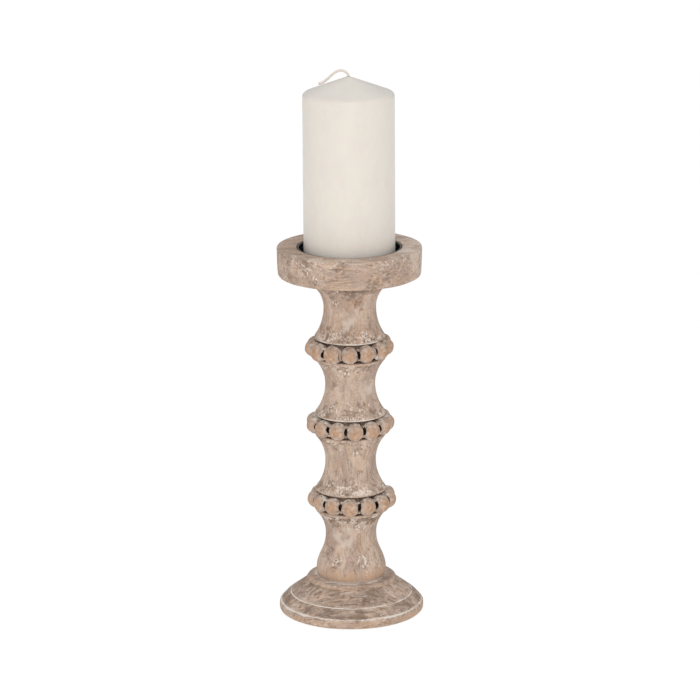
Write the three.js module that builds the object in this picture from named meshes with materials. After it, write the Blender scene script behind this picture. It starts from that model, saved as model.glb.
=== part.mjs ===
// A pillar candlestick: a moulded round base, four turned spools with a ring of wooden beads in each of the
// three grooves between them, and a thick round plate that holds a pillar candle in a pressed steel cup.
// The pieces are stacked on a threaded rod and clamped by a nut at each end of it.
// Millimetres, +Z up. The origin is the centre of the underside, on the surface that the candlestick stands on.
import * as THREE from "three";

// ---------- Driving dimensions ----------

// Clearances
const seatGap = 0.3; // between two faces that rest on each other
const fitGap = 0.3; // round a spigot in its socket, and round a cup in its recess
const rodClearance = 0.5; // round the rod in a bore

// Tie rod and its fasteners
const rodDiameter = 6;
const washerDiameter = 18;
const washerThickness = 1.6;
const nutAcrossFlats = 10;
const baseNutThickness = 5.2;
const plateNutThickness = 3.2;
const pocketClearance = 2; // between a washer and the wall of its pocket
const basePocketDepth = 9;

// Felt pad under the base
const feltInset = 6.4; // from the rim of the base to the edge of the felt
const feltThickness = 1.5;
const feltProud = 0.5; // how far the felt stands out of the wood

// Base
const baseRadius = 60.9;
const baseEdgeRounding = 2.5;
const rimHeight = 7;
const rimLineInset = 1.1; // first incised line, just inside the rim
const rimLineRise = 1.9;
const slabWidth = 8; // from the first incised line to the foot of the dome
const slabRise = 7.2;
const domeWidth = 14.2;
const domeRise = 10.7;
const stepLedge = 0.4; // how far the top step stands out over the dome
const stepRounding = 3.9;
const slabFullness = [0.43, 0.62]; // where along the slab's width and rise its curve is pulled to
const domeFullness = [0.75, 0.7];
const endSpigotRadius = 18; // the spigots at the two ends of the column
const endSpigotHeight = 4;

// Spools
const lipThickness = 1.6; // lower lip of a spool
const shoulderHeight = 2.2; // upper lip of a spool, which the beads rest on
const lipInset = 0.3; // of both lips, from the middle of the beads
const socketDepth = 6; // a spool's neck stands this deep in the spool above it
const spoolHeight = 50; // lower and middle spool, from the lower lip to the shoulder
const waistShare = 0.529; // how far up a cove its waist is
const lowerWaistRadius = 21.2;
const middleWaistRadius = 21;
const upperWaistRadius = 21.9;
const upperCoveHeight = 43;
const upperWaistShare = 0.572;
const collarRadius = 30;
const collarHeight = 8.8;
const bulbFootRadius = 28.2;
const bulbRadius = 29.3;
const bulbWidestHeight = 5.5; // above the bottom of the foot spool
const bulbToWaist = 31.3;
const bulbFootFullness = [1, 0.4]; // where along its width and rise the curve below that is pulled to
const bulbFullness = 12; // how far the bulb keeps its width before it draws in
const waistFullness = 14.5;
const footWaistRadius = 21.35;
const footCoveHeight = 20.1;

// Bead rings
const beadsPerRing = 13;
const beadDiameter = 14.8;
const beadLength = 12.4; // along its hole
const beadEndRadius = 4.1; // of its flat ends
const beadFacetShares = [0.28, 0.44]; // a point of its side, along its length and across its diameter
const beadHoleDiameter = 5;
const beadSpacing = 1.9; // between the ends of two neighbours, on the wire
const beadSeat = 0.3; // between a bead and the shoulder below it
const beadHeadroom = 0.8; // between a bead and the lip above it
const beadNeckClearance = 1.4; // the ring hangs loosely round the neck
const wireDiameter = 1.2;
const ringTurns = { lower: -3.4, middle: 7.6, upper: 0.5 }; // degrees that each ring is turned by

// Plate and its cup
const plateRadius = 60.5;
const plateTaper = 0.8; // the underside is this much smaller in radius
const plateTopRounding = 1.2;
const plateFootRounding = 2.5;
const cupDepth = 10.5;
const plateWeb = 3.8; // wood between the nut's pocket and the spigot's socket
const linerThickness = 0.8;
const linerRimWidth = 1.7;
const linerRimHeight = 1.5;
const linerSetDown = 0.3; // the rim of the cup below the top of the wood
const linerCorner = 2.5;
const cupClearance = 3.8; // between the candle and the rim of the cup

// Candle
const candleRadius = 38.1;
const candleHeight = 152.4;
const candleFootRounding = 1.5;
const candleConeSlope = 0.383; // rise of the top over its run
const candleShoulderRounding = 3.6;
const wickDiameter = 2.2;

// The free end of the wick, from where it leaves the candle: it rises to the left, bends over and comes
// down to rest its tip on the cone. It is 32 mm long.
const wickRoute = [
  [0, 0, 0],
  [-0.1, 0, 1.2],
  [-0.8, 0.2, 2.4],
  [-2, 0.5, 3.5],
  [-3.6, 1, 4.3],
  [-5.5, 1.5, 4.7],
  [-7.5, 2.1, 4.5],
  [-9.4, 2.6, 3.8],
  [-11.2, 3.1, 2.6],
  [-12.9, 3.6, 1.2],
  [-14.6, 4.1, -0.4],
  [-16.3, 4.6, -2],
  [-18, 5.1, -3.6],
  [-19.7, 5.6, -5],
  [-21.4, 6, -6.1],
  [-23.2, 6.5, -6.9],
  [-24.6, 6.9, -7.2],
];

// Fineness of the round pieces, in flat sides
const wideSides = 40;
const spoolSides = 28;
const smallSides = 16;
const beadSides = 8;
const wireSides = 6;
const ringSides = 24;
const wickSides = 8;
const wickSteps = 18;
const curveSteps = 3;

// ---------- Sizes that follow ----------

const boreRadius = rodDiameter / 2 + rodClearance;
const pocketRadius = washerDiameter / 2 + pocketClearance;

const beadRingRadius =
  (beadLength + beadSpacing) / (2 * Math.sin(Math.PI / beadsPerRing));
const neckRadius = beadRingRadius - beadDiameter / 2 - beadNeckClearance;
const lipRadius = beadRingRadius - lipInset;
const beadRise = beadSeat + beadDiameter / 2; // middle of a bead above its shoulder
const grooveHeight = beadRise + beadDiameter / 2 + beadHeadroom;
const neckHeight = grooveHeight + socketDepth - seatGap;

const feltRecessTop = feltThickness + seatGap;
const basePocketTop = feltRecessTop + basePocketDepth;
const domeTop = rimHeight + rimLineRise + slabRise + domeRise;
const baseTop = domeTop + stepRounding;

const footSpoolHeight =
  bulbWidestHeight + bulbToWaist + footCoveHeight + shoulderHeight;
const upperSpoolHeight = lipThickness + upperCoveHeight + collarHeight;
const footSpoolZ = baseTop + seatGap;
const lowerSpoolZ = footSpoolZ + footSpoolHeight + grooveHeight;
const middleSpoolZ = lowerSpoolZ + spoolHeight + grooveHeight;
const upperSpoolZ = middleSpoolZ + spoolHeight + grooveHeight;
const plateZ = upperSpoolZ + upperSpoolHeight + seatGap;

const linerRadius = candleRadius + cupClearance + linerRimWidth;
const cupRadius = linerRadius + fitGap;
const plateSocketDepth = endSpigotHeight + seatGap;
const platePocketDepth = washerThickness + plateNutThickness + 3 * seatGap;
const plateHeight = plateSocketDepth + plateWeb + platePocketDepth + cupDepth;
const cupFloorZ = plateZ + plateHeight - cupDepth;
const candleZ = cupFloorZ + seatGap + linerThickness + seatGap;
const wickBoreRadius = wickDiameter / 2 + fitGap;
const candleConeAngle = Math.atan(candleConeSlope);
const candleTop = candleHeight - candleConeSlope * wickBoreRadius; // mouth of the wick's bore

// ---------- Materials ----------

const finish = (color, roughness, metalness = 0) =>
  new THREE.MeshStandardMaterial({ color, roughness, metalness });
const turnedWood = finish(0xbda48f, 0.8);
const beadWood = finish(0xb99a7f, 0.75);
const zincSteel = finish(0xb9bcc0, 0.4, 1);
const blackEnamel = finish(0x121214, 0.25, 0.3);
const ironWire = finish(0x2a2725, 0.6, 0.8);
const feltCloth = finish(0x4a4038, 0.95);
const wax = finish(0xe9e3da, 0.55);
const cotton = finish(0xe6d9cc, 0.9);

// ---------- Shapes ----------

// The solid that an outline of radius and height sweeps round the Z axis. The outline closes on itself, or
// starts and ends on the axis.
function turned(outline, sides) {
  const points = outline.getPoints(curveSteps);
  if (THREE.ShapeUtils.area(points) < 0) points.reverse();
  return new THREE.LatheGeometry(points, sides).rotateX(Math.PI / 2);
}

// A quarter round on the outer edge of an outline that is drawn upwards: at its foot, or at its top.
const roundFoot = (outline, radius, z, rounding) =>
  outline.absarc(radius - rounding, z + rounding, rounding, -Math.PI / 2, 0);
const roundTop = (outline, radius, z, rounding, endAngle = Math.PI / 2) =>
  outline.absarc(radius - rounding, z - rounding, rounding, 0, endAngle);

// A full curve from the outline's end to (radius, z), pulled towards a point at two shares of the way.
function fullCurve(outline, radius, z, [acrossShare, upShare]) {
  const { x, y } = outline.currentPoint;
  outline.quadraticCurveTo(
    x + acrossShare * (radius - x),
    y + upShare * (z - y),
    radius,
    z,
  );
}

// One half of a cove: an arc between a lip and the waist, upright at the waist.
function halfCove(outline, lip, waist) {
  const run = lip.radius - waist.radius;
  const rise = lip.z - waist.z;
  const arcRadius = (run * run + rise * rise) / (2 * run);
  const lipAngle = Math.PI - Math.asin(rise / arcRadius);
  const upwards = rise > 0;
  outline.absarc(
    waist.radius + arcRadius,
    waist.z,
    arcRadius,
    upwards ? Math.PI : lipAngle,
    upwards ? lipAngle : Math.PI,
    true,
  );
}

// A flat ring or a plain disc, from z = 0 up.
function flatRing(outerRadius, innerRadius, thickness, sides) {
  const outline = new THREE.Path().moveTo(innerRadius, 0);
  outline.lineTo(outerRadius, 0).lineTo(outerRadius, thickness);
  outline.lineTo(innerRadius, thickness);
  if (innerRadius > 0) outline.closePath();
  return turned(outline, sides);
}

function baseGeometry() {
  const outline = new THREE.Path().moveTo(boreRadius, basePocketTop);
  outline.lineTo(pocketRadius, basePocketTop).lineTo(pocketRadius, feltRecessTop);
  const feltRecessRadius = baseRadius - feltInset + fitGap;
  outline.lineTo(feltRecessRadius, feltRecessTop).lineTo(feltRecessRadius, feltProud);
  roundFoot(outline, baseRadius, feltProud, baseEdgeRounding);
  const slabRadius = baseRadius - rimLineInset;
  const slabFoot = rimHeight + rimLineRise;
  outline.lineTo(baseRadius, rimHeight).lineTo(slabRadius, slabFoot);
  fullCurve(outline, slabRadius - slabWidth, slabFoot + slabRise, slabFullness);
  const domeTopRadius = slabRadius - slabWidth - domeWidth;
  fullCurve(outline, domeTopRadius, domeTop, domeFullness);
  roundTop(outline, domeTopRadius + stepLedge, baseTop, stepRounding);
  const spigotTop = baseTop + endSpigotHeight;
  outline.lineTo(endSpigotRadius, baseTop).lineTo(endSpigotRadius, spigotTop);
  outline.lineTo(boreRadius, spigotTop).closePath();
  return turned(outline, wideSides);
}

// A spool's inside and its ends are alike: a socket for the spigot below, a bore for the rod, and a spigot
// on top. draw() draws its side, from the outer edge of the bottom to the outer edge of the top.
function spoolGeometry({ height, socket, spigot, draw }) {
  const socketRadius = socket.radius + fitGap;
  const outline = new THREE.Path().moveTo(boreRadius, socket.depth);
  outline.lineTo(socketRadius, socket.depth).lineTo(socketRadius, 0);
  draw(outline);
  outline.lineTo(spigot.radius, height).lineTo(spigot.radius, height + spigot.height);
  outline.lineTo(boreRadius, height + spigot.height).closePath();
  return turned(outline, spoolSides);
}

const neckSocket = { radius: neckRadius, depth: socketDepth };
const neckSpigot = { radius: neckRadius, height: neckHeight };

function footSpoolGeometry() {
  const waistZ = bulbWidestHeight + bulbToWaist;
  const waist = { radius: footWaistRadius, z: waistZ };
  const shoulder = { radius: lipRadius, z: waistZ + footCoveHeight };
  return spoolGeometry({
    height: footSpoolHeight,
    socket: { radius: endSpigotRadius, depth: endSpigotHeight + seatGap },
    spigot: neckSpigot,
    draw(outline) {
      outline.lineTo(bulbFootRadius, 0);
      fullCurve(outline, bulbRadius, bulbWidestHeight, bulbFootFullness);
      outline.bezierCurveTo(
        bulbRadius,
        bulbWidestHeight + bulbFullness,
        waist.radius,
        waist.z - waistFullness,
        waist.radius,
        waist.z,
      );
      halfCove(outline, shoulder, waist);
      outline.lineTo(lipRadius, footSpoolHeight);
    },
  });
}

function coveSpoolGeometry(waistRadius) {
  const coveHeight = spoolHeight - lipThickness - shoulderHeight;
  const waist = {
    radius: waistRadius,
    z: lipThickness + coveHeight * waistShare,
  };
  return spoolGeometry({
    height: spoolHeight,
    socket: neckSocket,
    spigot: neckSpigot,
    draw(outline) {
      outline.lineTo(lipRadius, 0).lineTo(lipRadius, lipThickness);
      halfCove(outline, { radius: lipRadius, z: lipThickness }, waist);
      const shoulder = { radius: lipRadius, z: lipThickness + coveHeight };
      halfCove(outline, shoulder, waist);
      outline.lineTo(lipRadius, spoolHeight);
    },
  });
}

function upperSpoolGeometry() {
  const waist = {
    radius: upperWaistRadius,
    z: lipThickness + upperCoveHeight * upperWaistShare,
  };
  return spoolGeometry({
    height: upperSpoolHeight,
    socket: neckSocket,
    spigot: { radius: endSpigotRadius, height: endSpigotHeight },
    draw(outline) {
      outline.lineTo(lipRadius, 0).lineTo(lipRadius, lipThickness);
      halfCove(outline, { radius: lipRadius, z: lipThickness }, waist);
      const collar = { radius: collarRadius, z: lipThickness + upperCoveHeight };
      halfCove(outline, collar, waist);
      outline.lineTo(collarRadius, upperSpoolHeight);
    },
  });
}

function plateGeometry() {
  const socketRadius = endSpigotRadius + fitGap;
  const cupFloor = plateHeight - cupDepth;
  const pocketFloor = cupFloor - platePocketDepth;
  const outline = new THREE.Path().moveTo(boreRadius, plateSocketDepth);
  outline.lineTo(socketRadius, plateSocketDepth).lineTo(socketRadius, 0);
  roundFoot(outline, plateRadius - plateTaper, 0, plateFootRounding);
  roundTop(outline, plateRadius, plateHeight, plateTopRounding);
  outline.lineTo(cupRadius, plateHeight).lineTo(cupRadius, cupFloor);
  outline.lineTo(pocketRadius, cupFloor).lineTo(pocketRadius, pocketFloor);
  outline.lineTo(boreRadius, pocketFloor).closePath();
  return turned(outline, wideSides);
}

// A pressed cup with a flat floor and an edge that is rolled inwards.
function linerGeometry() {
  const top = cupDepth - seatGap - linerSetDown;
  const rimFoot = top - linerRimHeight;
  const innerRadius = linerRadius - linerThickness;
  const outline = new THREE.Path().moveTo(0, 0);
  outline.lineTo(linerRadius - linerCorner, 0).lineTo(linerRadius, linerCorner);
  outline.lineTo(linerRadius, top).lineTo(linerRadius - linerRimWidth, top);
  outline.lineTo(linerRadius - linerRimWidth, rimFoot).lineTo(innerRadius, rimFoot);
  outline.lineTo(innerRadius, linerCorner + linerThickness / 2);
  outline.lineTo(linerRadius - linerCorner, linerThickness).lineTo(0, linerThickness);
  return turned(outline, wideSides);
}

function nutGeometry(thickness) {
  const corner = nutAcrossFlats / Math.sqrt(3);
  const hexagon = new THREE.Shape();
  for (let i = 0; i < 6; i++) {
    const angle = (i * Math.PI) / 3;
    const point = [corner * Math.cos(angle), corner * Math.sin(angle)];
    if (i) hexagon.lineTo(...point);
    else hexagon.moveTo(...point);
  }
  hexagon.closePath();
  const holeRadius = rodDiameter / 2 + fitGap;
  hexagon.holes.push(new THREE.Path().absarc(0, 0, holeRadius, 0, 2 * Math.PI));
  return new THREE.ExtrudeGeometry(hexagon, {
    depth: thickness,
    bevelEnabled: false,
    curveSegments: smallSides / 2,
  });
}

// A barrel bead, lying along X.
function beadGeometry() {
  const hole = beadHoleDiameter / 2;
  const half = beadLength / 2;
  const [along, across] = beadFacetShares;
  const barrel = [
    [beadEndRadius, -half],
    [across * beadDiameter, -along * beadLength],
    [beadDiameter / 2, 0],
    [across * beadDiameter, along * beadLength],
    [beadEndRadius, half],
  ];
  const outline = new THREE.Path().moveTo(hole, -half);
  for (const point of barrel) outline.lineTo(...point);
  outline.lineTo(hole, half).closePath();
  return turned(outline, beadSides).rotateY(Math.PI / 2);
}

function wireGeometry() {
  const outline = new THREE.Path();
  for (let i = 0; i < wireSides; i++) {
    const angle = (2 * Math.PI * i) / wireSides;
    const r = beadRingRadius + (wireDiameter / 2) * Math.cos(angle);
    const z = (wireDiameter / 2) * Math.sin(angle);
    if (i) outline.lineTo(r, z);
    else outline.moveTo(r, z);
  }
  return turned(outline.closePath(), ringSides);
}

function candleGeometry() {
  const rounding = candleShoulderRounding;
  const coneRadius = candleRadius - rounding * (1 - Math.sin(candleConeAngle));
  const coneFoot = candleHeight - candleConeSlope * coneRadius;
  const wallTop = coneFoot - rounding * Math.cos(candleConeAngle);
  const outline = new THREE.Path().moveTo(wickBoreRadius, 0);
  roundFoot(outline, candleRadius, 0, candleFootRounding);
  outline.absarc(
    candleRadius - rounding,
    wallTop,
    rounding,
    0,
    Math.PI / 2 - candleConeAngle,
  );
  outline.lineTo(wickBoreRadius, candleTop).closePath();
  return turned(outline, wideSides);
}

function wickGeometry() {
  const section = new THREE.Shape();
  for (let i = 0; i < wickSides; i++) {
    const angle = (2 * Math.PI * i) / wickSides;
    const x = (wickDiameter / 2) * Math.cos(angle);
    const y = (wickDiameter / 2) * Math.sin(angle);
    if (i) section.lineTo(x, y);
    else section.moveTo(x, y);
  }
  const route = wickRoute.map((point) => new THREE.Vector3(...point));
  return new THREE.ExtrudeGeometry(section, {
    steps: wickSteps,
    extrudePath: new THREE.CatmullRomCurve3(route),
  });
}

// ---------- Assembly ----------

function piece(name, geometry, material, z = 0) {
  const mesh = new THREE.Mesh(geometry, material);
  mesh.name = name;
  mesh.position.z = z;
  return mesh;
}

function fasteners() {
  const baseWasherZ = basePocketTop - seatGap - washerThickness;
  const baseNutZ = baseWasherZ - seatGap - baseNutThickness;
  const plateWasherZ = cupFloorZ - platePocketDepth + seatGap;
  const plateNutZ = plateWasherZ + washerThickness + seatGap;
  const rodFoot = feltRecessTop + seatGap;
  const rodTop = cupFloorZ - seatGap;
  const washer = flatRing(washerDiameter / 2, boreRadius, washerThickness, smallSides);
  const rod = flatRing(rodDiameter / 2, 0, rodTop - rodFoot, smallSides);
  const group = new THREE.Group();
  group.add(
    piece("tie_rod", rod, zincSteel, rodFoot),
    piece("base_washer", washer, zincSteel, baseWasherZ),
    piece("base_nut", nutGeometry(baseNutThickness), zincSteel, baseNutZ),
    piece("plate_washer", washer, zincSteel, plateWasherZ),
    piece("plate_nut", nutGeometry(plateNutThickness), zincSteel, plateNutZ),
  );
  return group;
}

// One ring of beads on its wire, resting on the shoulder of the spool below.
function beadRing(name, shoulderZ) {
  const group = new THREE.Group();
  group.position.z = shoulderZ + beadRise;
  group.rotation.z = THREE.MathUtils.degToRad(ringTurns[name]);
  group.add(piece(name + "_bead_wire", wireGeometry(), ironWire));
  for (let i = 0; i < beadsPerRing; i++) {
    const turn = (2 * Math.PI * i) / beadsPerRing;
    const number = String(i + 1).padStart(2, "0");
    const bead = piece(name + "_bead_" + number, beadGeometry(), beadWood);
    bead.position.x = beadRingRadius * Math.sin(turn);
    bead.position.y = -beadRingRadius * Math.cos(turn);
    bead.rotation.z = turn;
    group.add(bead);
  }
  return group;
}

function candle() {
  const coreHeight = candleTop - 2 * seatGap;
  const core = flatRing(wickDiameter / 2, 0, coreHeight, wickSides);
  const group = new THREE.Group();
  group.position.z = candleZ;
  group.add(
    piece("candle", candleGeometry(), wax),
    piece("wick_core", core, cotton, seatGap),
    piece("wick", wickGeometry(), cotton, candleTop),
  );
  return group;
}

const felt = flatRing(baseRadius - feltInset, 0, feltThickness, wideSides);
const linerZ = cupFloorZ + seatGap;
const candlestick = new THREE.Group();
candlestick.add(
  piece("felt_pad", felt, feltCloth),
  piece("base", baseGeometry(), turnedWood),
  piece("foot_spool", footSpoolGeometry(), turnedWood, footSpoolZ),
  piece("lower_spool", coveSpoolGeometry(lowerWaistRadius), turnedWood, lowerSpoolZ),
  piece("middle_spool", coveSpoolGeometry(middleWaistRadius), turnedWood, middleSpoolZ),
  piece("upper_spool", upperSpoolGeometry(), turnedWood, upperSpoolZ),
  piece("candle_plate", plateGeometry(), turnedWood, plateZ),
  piece("plate_liner", linerGeometry(), blackEnamel, linerZ),
  fasteners(),
  beadRing("lower", footSpoolZ + footSpoolHeight),
  beadRing("middle", lowerSpoolZ + spoolHeight),
  beadRing("upper", middleSpoolZ + spoolHeight),
  candle(),
);

export default candlestick;
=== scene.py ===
"""The looks of a turned pillar candlestick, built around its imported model.

Every wooden piece, the cup, the candle and the felt are turned from an outline by one Geometry Nodes tree,
and each bead ring is strung by another. Lengths in the classes are millimetres, and MM turns them to metres.
"""

import logging
import math
from collections.abc import Callable, Sequence
from dataclasses import dataclass, field
from enum import Enum

import bpy
from mathutils import Matrix, Vector


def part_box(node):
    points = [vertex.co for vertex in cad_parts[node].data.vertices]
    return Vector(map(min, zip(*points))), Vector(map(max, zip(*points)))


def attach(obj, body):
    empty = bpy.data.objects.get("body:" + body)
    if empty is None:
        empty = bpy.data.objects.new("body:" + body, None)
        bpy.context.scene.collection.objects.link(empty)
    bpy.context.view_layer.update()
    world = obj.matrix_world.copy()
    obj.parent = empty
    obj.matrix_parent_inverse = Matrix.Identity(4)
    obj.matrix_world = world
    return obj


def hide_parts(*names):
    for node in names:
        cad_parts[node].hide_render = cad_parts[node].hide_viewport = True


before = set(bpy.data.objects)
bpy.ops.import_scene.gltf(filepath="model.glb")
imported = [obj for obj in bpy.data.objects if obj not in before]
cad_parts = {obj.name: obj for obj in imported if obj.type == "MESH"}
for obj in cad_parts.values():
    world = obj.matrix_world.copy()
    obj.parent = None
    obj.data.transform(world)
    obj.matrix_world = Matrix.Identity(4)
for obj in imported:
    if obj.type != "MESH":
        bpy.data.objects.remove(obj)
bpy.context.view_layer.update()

MM = 0.001
HOLDER, CANDLE = "holder", "candle"
log = logging.getLogger("candlestick")

Pair = tuple[float, float]
Triple = tuple[float, float, float]
Ramp = float | Pair  # a mark's one value along a stretch, or its values at the start and the end
Tree = bpy.types.NodeTree
Socket = bpy.types.NodeSocket


class Mark(Enum):
    """What a stretch of an outline carries, as a point attribute of the turned mesh."""

    PAINT = "paint"  # paint left in a recess or along a lip
    FLECKS = "flecks"  # chipped and spattered paint, with brown shade painted round it
    BARE = "bare"  # where the wash is rubbed off and tan wood shows
    GLAZE = "glaze"  # grey-brown glazing over the wash, and painted shade under the plate, shoulders and lips, on the base and at the beads' sides
    STAIN = "stain"  # near-black shade painted on the necks behind the beads, in the beads' joints and holes, and in the wick's grooves


class Grain(Enum):
    """The axis that the grain of a wooden piece runs along."""

    UPRIGHT = "Z"  # a spool, turned from a post
    LYING = "X"  # the base and the plate, turned from a plank


# ---------- Helpers ----------


def add_node(
    tree: Tree, kind: str, inputs: dict[str | int, object] | None = None, **settings: object
) -> bpy.types.Node:
    """Adds a node to a tree, with its settings and its inputs.

    Args:
        tree: The shader or geometry tree.
        kind: The node's type.
        inputs: For a socket's name or number, its value or the socket that feeds it.
        **settings: The node's own properties.

    Returns:
        The new node.
    """
    node = tree.nodes.new(kind)
    for name, value in settings.items():
        setattr(node, name, value)
    for key, value in (inputs or {}).items():
        if isinstance(value, bpy.types.NodeSocket):
            tree.links.new(value, node.inputs[key])
        else:
            node.inputs[key].default_value = value
    return node


def linear(colour: str) -> tuple[float, float, float, float]:
    """Turns an sRGB colour to linear RGBA.

    Args:
        colour: Its hex value, such as "c1a896".

    Returns:
        Its red, green and blue, and an alpha of 1.
    """
    shares = (int(colour[i : i + 2], 16) / 255 for i in (0, 2, 4))
    rgb = (s / 12.92 if s <= 0.04045 else ((s + 0.055) / 1.055) ** 2.4 for s in shares)
    return (*rgb, 1.0)


def link_object(name: str, data: bpy.types.ID) -> bpy.types.Object:
    """Makes an object and links it to the scene.

    Args:
        name: The object's name.
        data: Its mesh, light or camera.

    Returns:
        The object.
    """
    made = bpy.data.objects.new(name, data)
    bpy.context.scene.collection.objects.link(made)
    return made


def geometry_tree(name: str, sockets: dict[str, str]) -> tuple[Tree, bpy.types.Node]:
    """Starts a Geometry Nodes tree.

    Args:
        name: The tree's name.
        sockets: The name of each input to its type, such as "Float".

    Returns:
        The tree and its Group Input node.
    """
    tree = bpy.data.node_groups.new(name, "GeometryNodeTree")
    for label, kind in {"Geometry": "Geometry", **sockets}.items():
        tree.interface.new_socket(name=label, in_out="INPUT", socket_type=f"NodeSocket{kind}")
    tree.interface.new_socket(name="Geometry", in_out="OUTPUT", socket_type="NodeSocketGeometry")
    return tree, add_node(tree, "NodeGroupInput")


def close_tree(tree: Tree, geometry: Socket, material: Socket) -> None:
    """Ends a tree in Realize Instances and Set Material.

    Args:
        tree: The geometry tree.
        geometry: What it has made.
        material: The finish that goes all over it.
    """
    real = add_node(tree, "GeometryNodeRealizeInstances", {"Geometry": geometry})
    dressed = add_node(tree, "GeometryNodeSetMaterial", {"Geometry": real.outputs[0], "Material": material})
    add_node(tree, "NodeGroupOutput", {"Geometry": dressed.outputs[0]})


def run_trees(
    name: str, start: bpy.types.Mesh, steps: Sequence[tuple[Tree, dict[str, object]]]
) -> bpy.types.Object:
    """Runs Geometry Nodes trees on a mesh, one after another, and keeps the result as a plain mesh.

    Args:
        name: The finished piece's name.
        start: The mesh that goes into the first tree.
        steps: Each tree with the values of its named inputs.

    Returns:
        The piece, with no modifier left on it.
    """
    piece = link_object(name, start)
    for tree, values in steps:
        modifier = piece.modifiers.new(tree.name, "NODES")
        modifier.node_group = tree
        for item in tree.interface.items_tree:
            if item.item_type == "SOCKET" and item.in_out == "INPUT" and item.name in values:
                modifier[item.identifier] = values[item.name]
    bpy.context.view_layer.update()
    evaluated = piece.evaluated_get(bpy.context.evaluated_depsgraph_get())
    mesh = bpy.data.meshes.new_from_object(evaluated)
    piece.modifiers.clear()
    piece.data = mesh
    mesh.name = name
    return piece


def finished(piece: bpy.types.Object, body: str, slot: str, *nodes: str) -> bpy.types.Object:
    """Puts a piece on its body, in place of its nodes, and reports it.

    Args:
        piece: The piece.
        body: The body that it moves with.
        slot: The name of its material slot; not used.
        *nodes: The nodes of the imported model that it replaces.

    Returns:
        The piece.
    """
    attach(piece, body)
    if nodes:
        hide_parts(*nodes)
    log.info("%s: %d faces, on %s", piece.name, len(piece.data.polygons), body)
    return piece


# ---------- Finishes ----------

GRAIN_DRIFT = 28.0  # millimetres between the bends of the grain
LAYER_SHIFT = 17.3  # from one layer's noise to the next, so that their patches don't coincide
CLUMP_SHIFT = 3.7  # from a layer's noise to that of its clumps
RELIEF_SHIFT = 5.1  # where the noise of the fibres starts
SPOT_CORE = 0.3  # the share of a spot's radius in which its layer keeps its full strength
SPOT_EDGE = 0.35  # the noise that is lost from the edge of a spot outwards


@dataclass(frozen=True)
class Spot:
    """A round place on a piece, in the millimetres of the shared frame.

    Attributes:
        x: How far its centre is to the right.
        y: How far that is to the back.
        z: How far that is above the floor.
        radius: Its radius.
    """

    x: float
    y: float
    z: float
    radius: float


@dataclass(frozen=True)
class Layer:
    """One thin layer of colour over a surface, laid on in patches of noise.

    Attributes:
        colour: The layer's sRGB hex colour.
        patch: The size of a patch along X, Y and Z, in millimetres.
        low: The noise at which the layer starts to show.
        high: The noise at which it covers as much as it can.
        amount: How much it covers there, from 0 to 1.
        detail: How many finer octaves the noise has.
        mark: The mark of the piece that lifts the noise, if any.
        gain: How much a full mark lifts it.
        clump: The size of the clumps that the mark is broken into, in millimetres, or 0 for none.
        between: How much of the mark is left between them, from 0 to 1.
        spot: The only place where the layer lies, or None for all over.
    """

    colour: str
    patch: Triple
    low: float
    high: float
    amount: float = 1.0
    detail: float = 3.0
    mark: Mark | None = None
    gain: float = 0.0
    clump: float = 0.0
    between: float = 0.2
    spot: Spot | None = None


@dataclass(frozen=True)
class Blemishes:
    """What sets one piece of the wood apart from the next.

    Attributes:
        chips: Where white chips of paint are left.
        smudges_and_shade: Where grey-brown is left, as glazing and in places as painted shade under the rings
            and the plate.
        stains: Where a reddish-brown colour has come through.
        washes: Where the white wash is thicker.
    """

    chips: tuple[Spot, ...] = ()
    smudges_and_shade: tuple[Spot, ...] = ()
    stains: tuple[Spot, ...] = ()
    washes: tuple[Spot, ...] = ()

    def layers(self) -> tuple[Layer, ...]:
        """Turns the blemishes to layers of a finish.

        Returns:
            The layers: thicker wash, grey-brown patches that are partly painted shade, stains, the shade
                round the chips and the chips on top.
        """
        washed = [Layer("d8c8bb", (7, 7, 7), 0.3, 0.62, 0.6, 4.0, spot=spot) for spot in self.washes]
        # grey-brown patches, some of them painted shade under the rings and the plate
        smudged_and_shaded = [Layer("735d4c", (4, 4, 2.4), 0.36, 0.62, 0.6, 4.0, spot=spot) for spot in self.smudges_and_shade]
        stained = [Layer("895f42", (2.6, 2.6, 2.6), 0.42, 0.62, 0.75, 4.0, spot=spot) for spot in self.stains]
        shaded = [Layer("77604f", (3, 3, 3.4), 0.42, 0.62, 0.5, 4.0, spot=spot) for spot in self.chips]
        chipped = [Layer("e9ddd1", (1.6, 1.6, 2.6), 0.5, 0.62, 0.8, 4.0, spot=spot) for spot in self.chips]
        return (*washed, *smudged_and_shaded, *stained, *shaded, *chipped)


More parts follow.
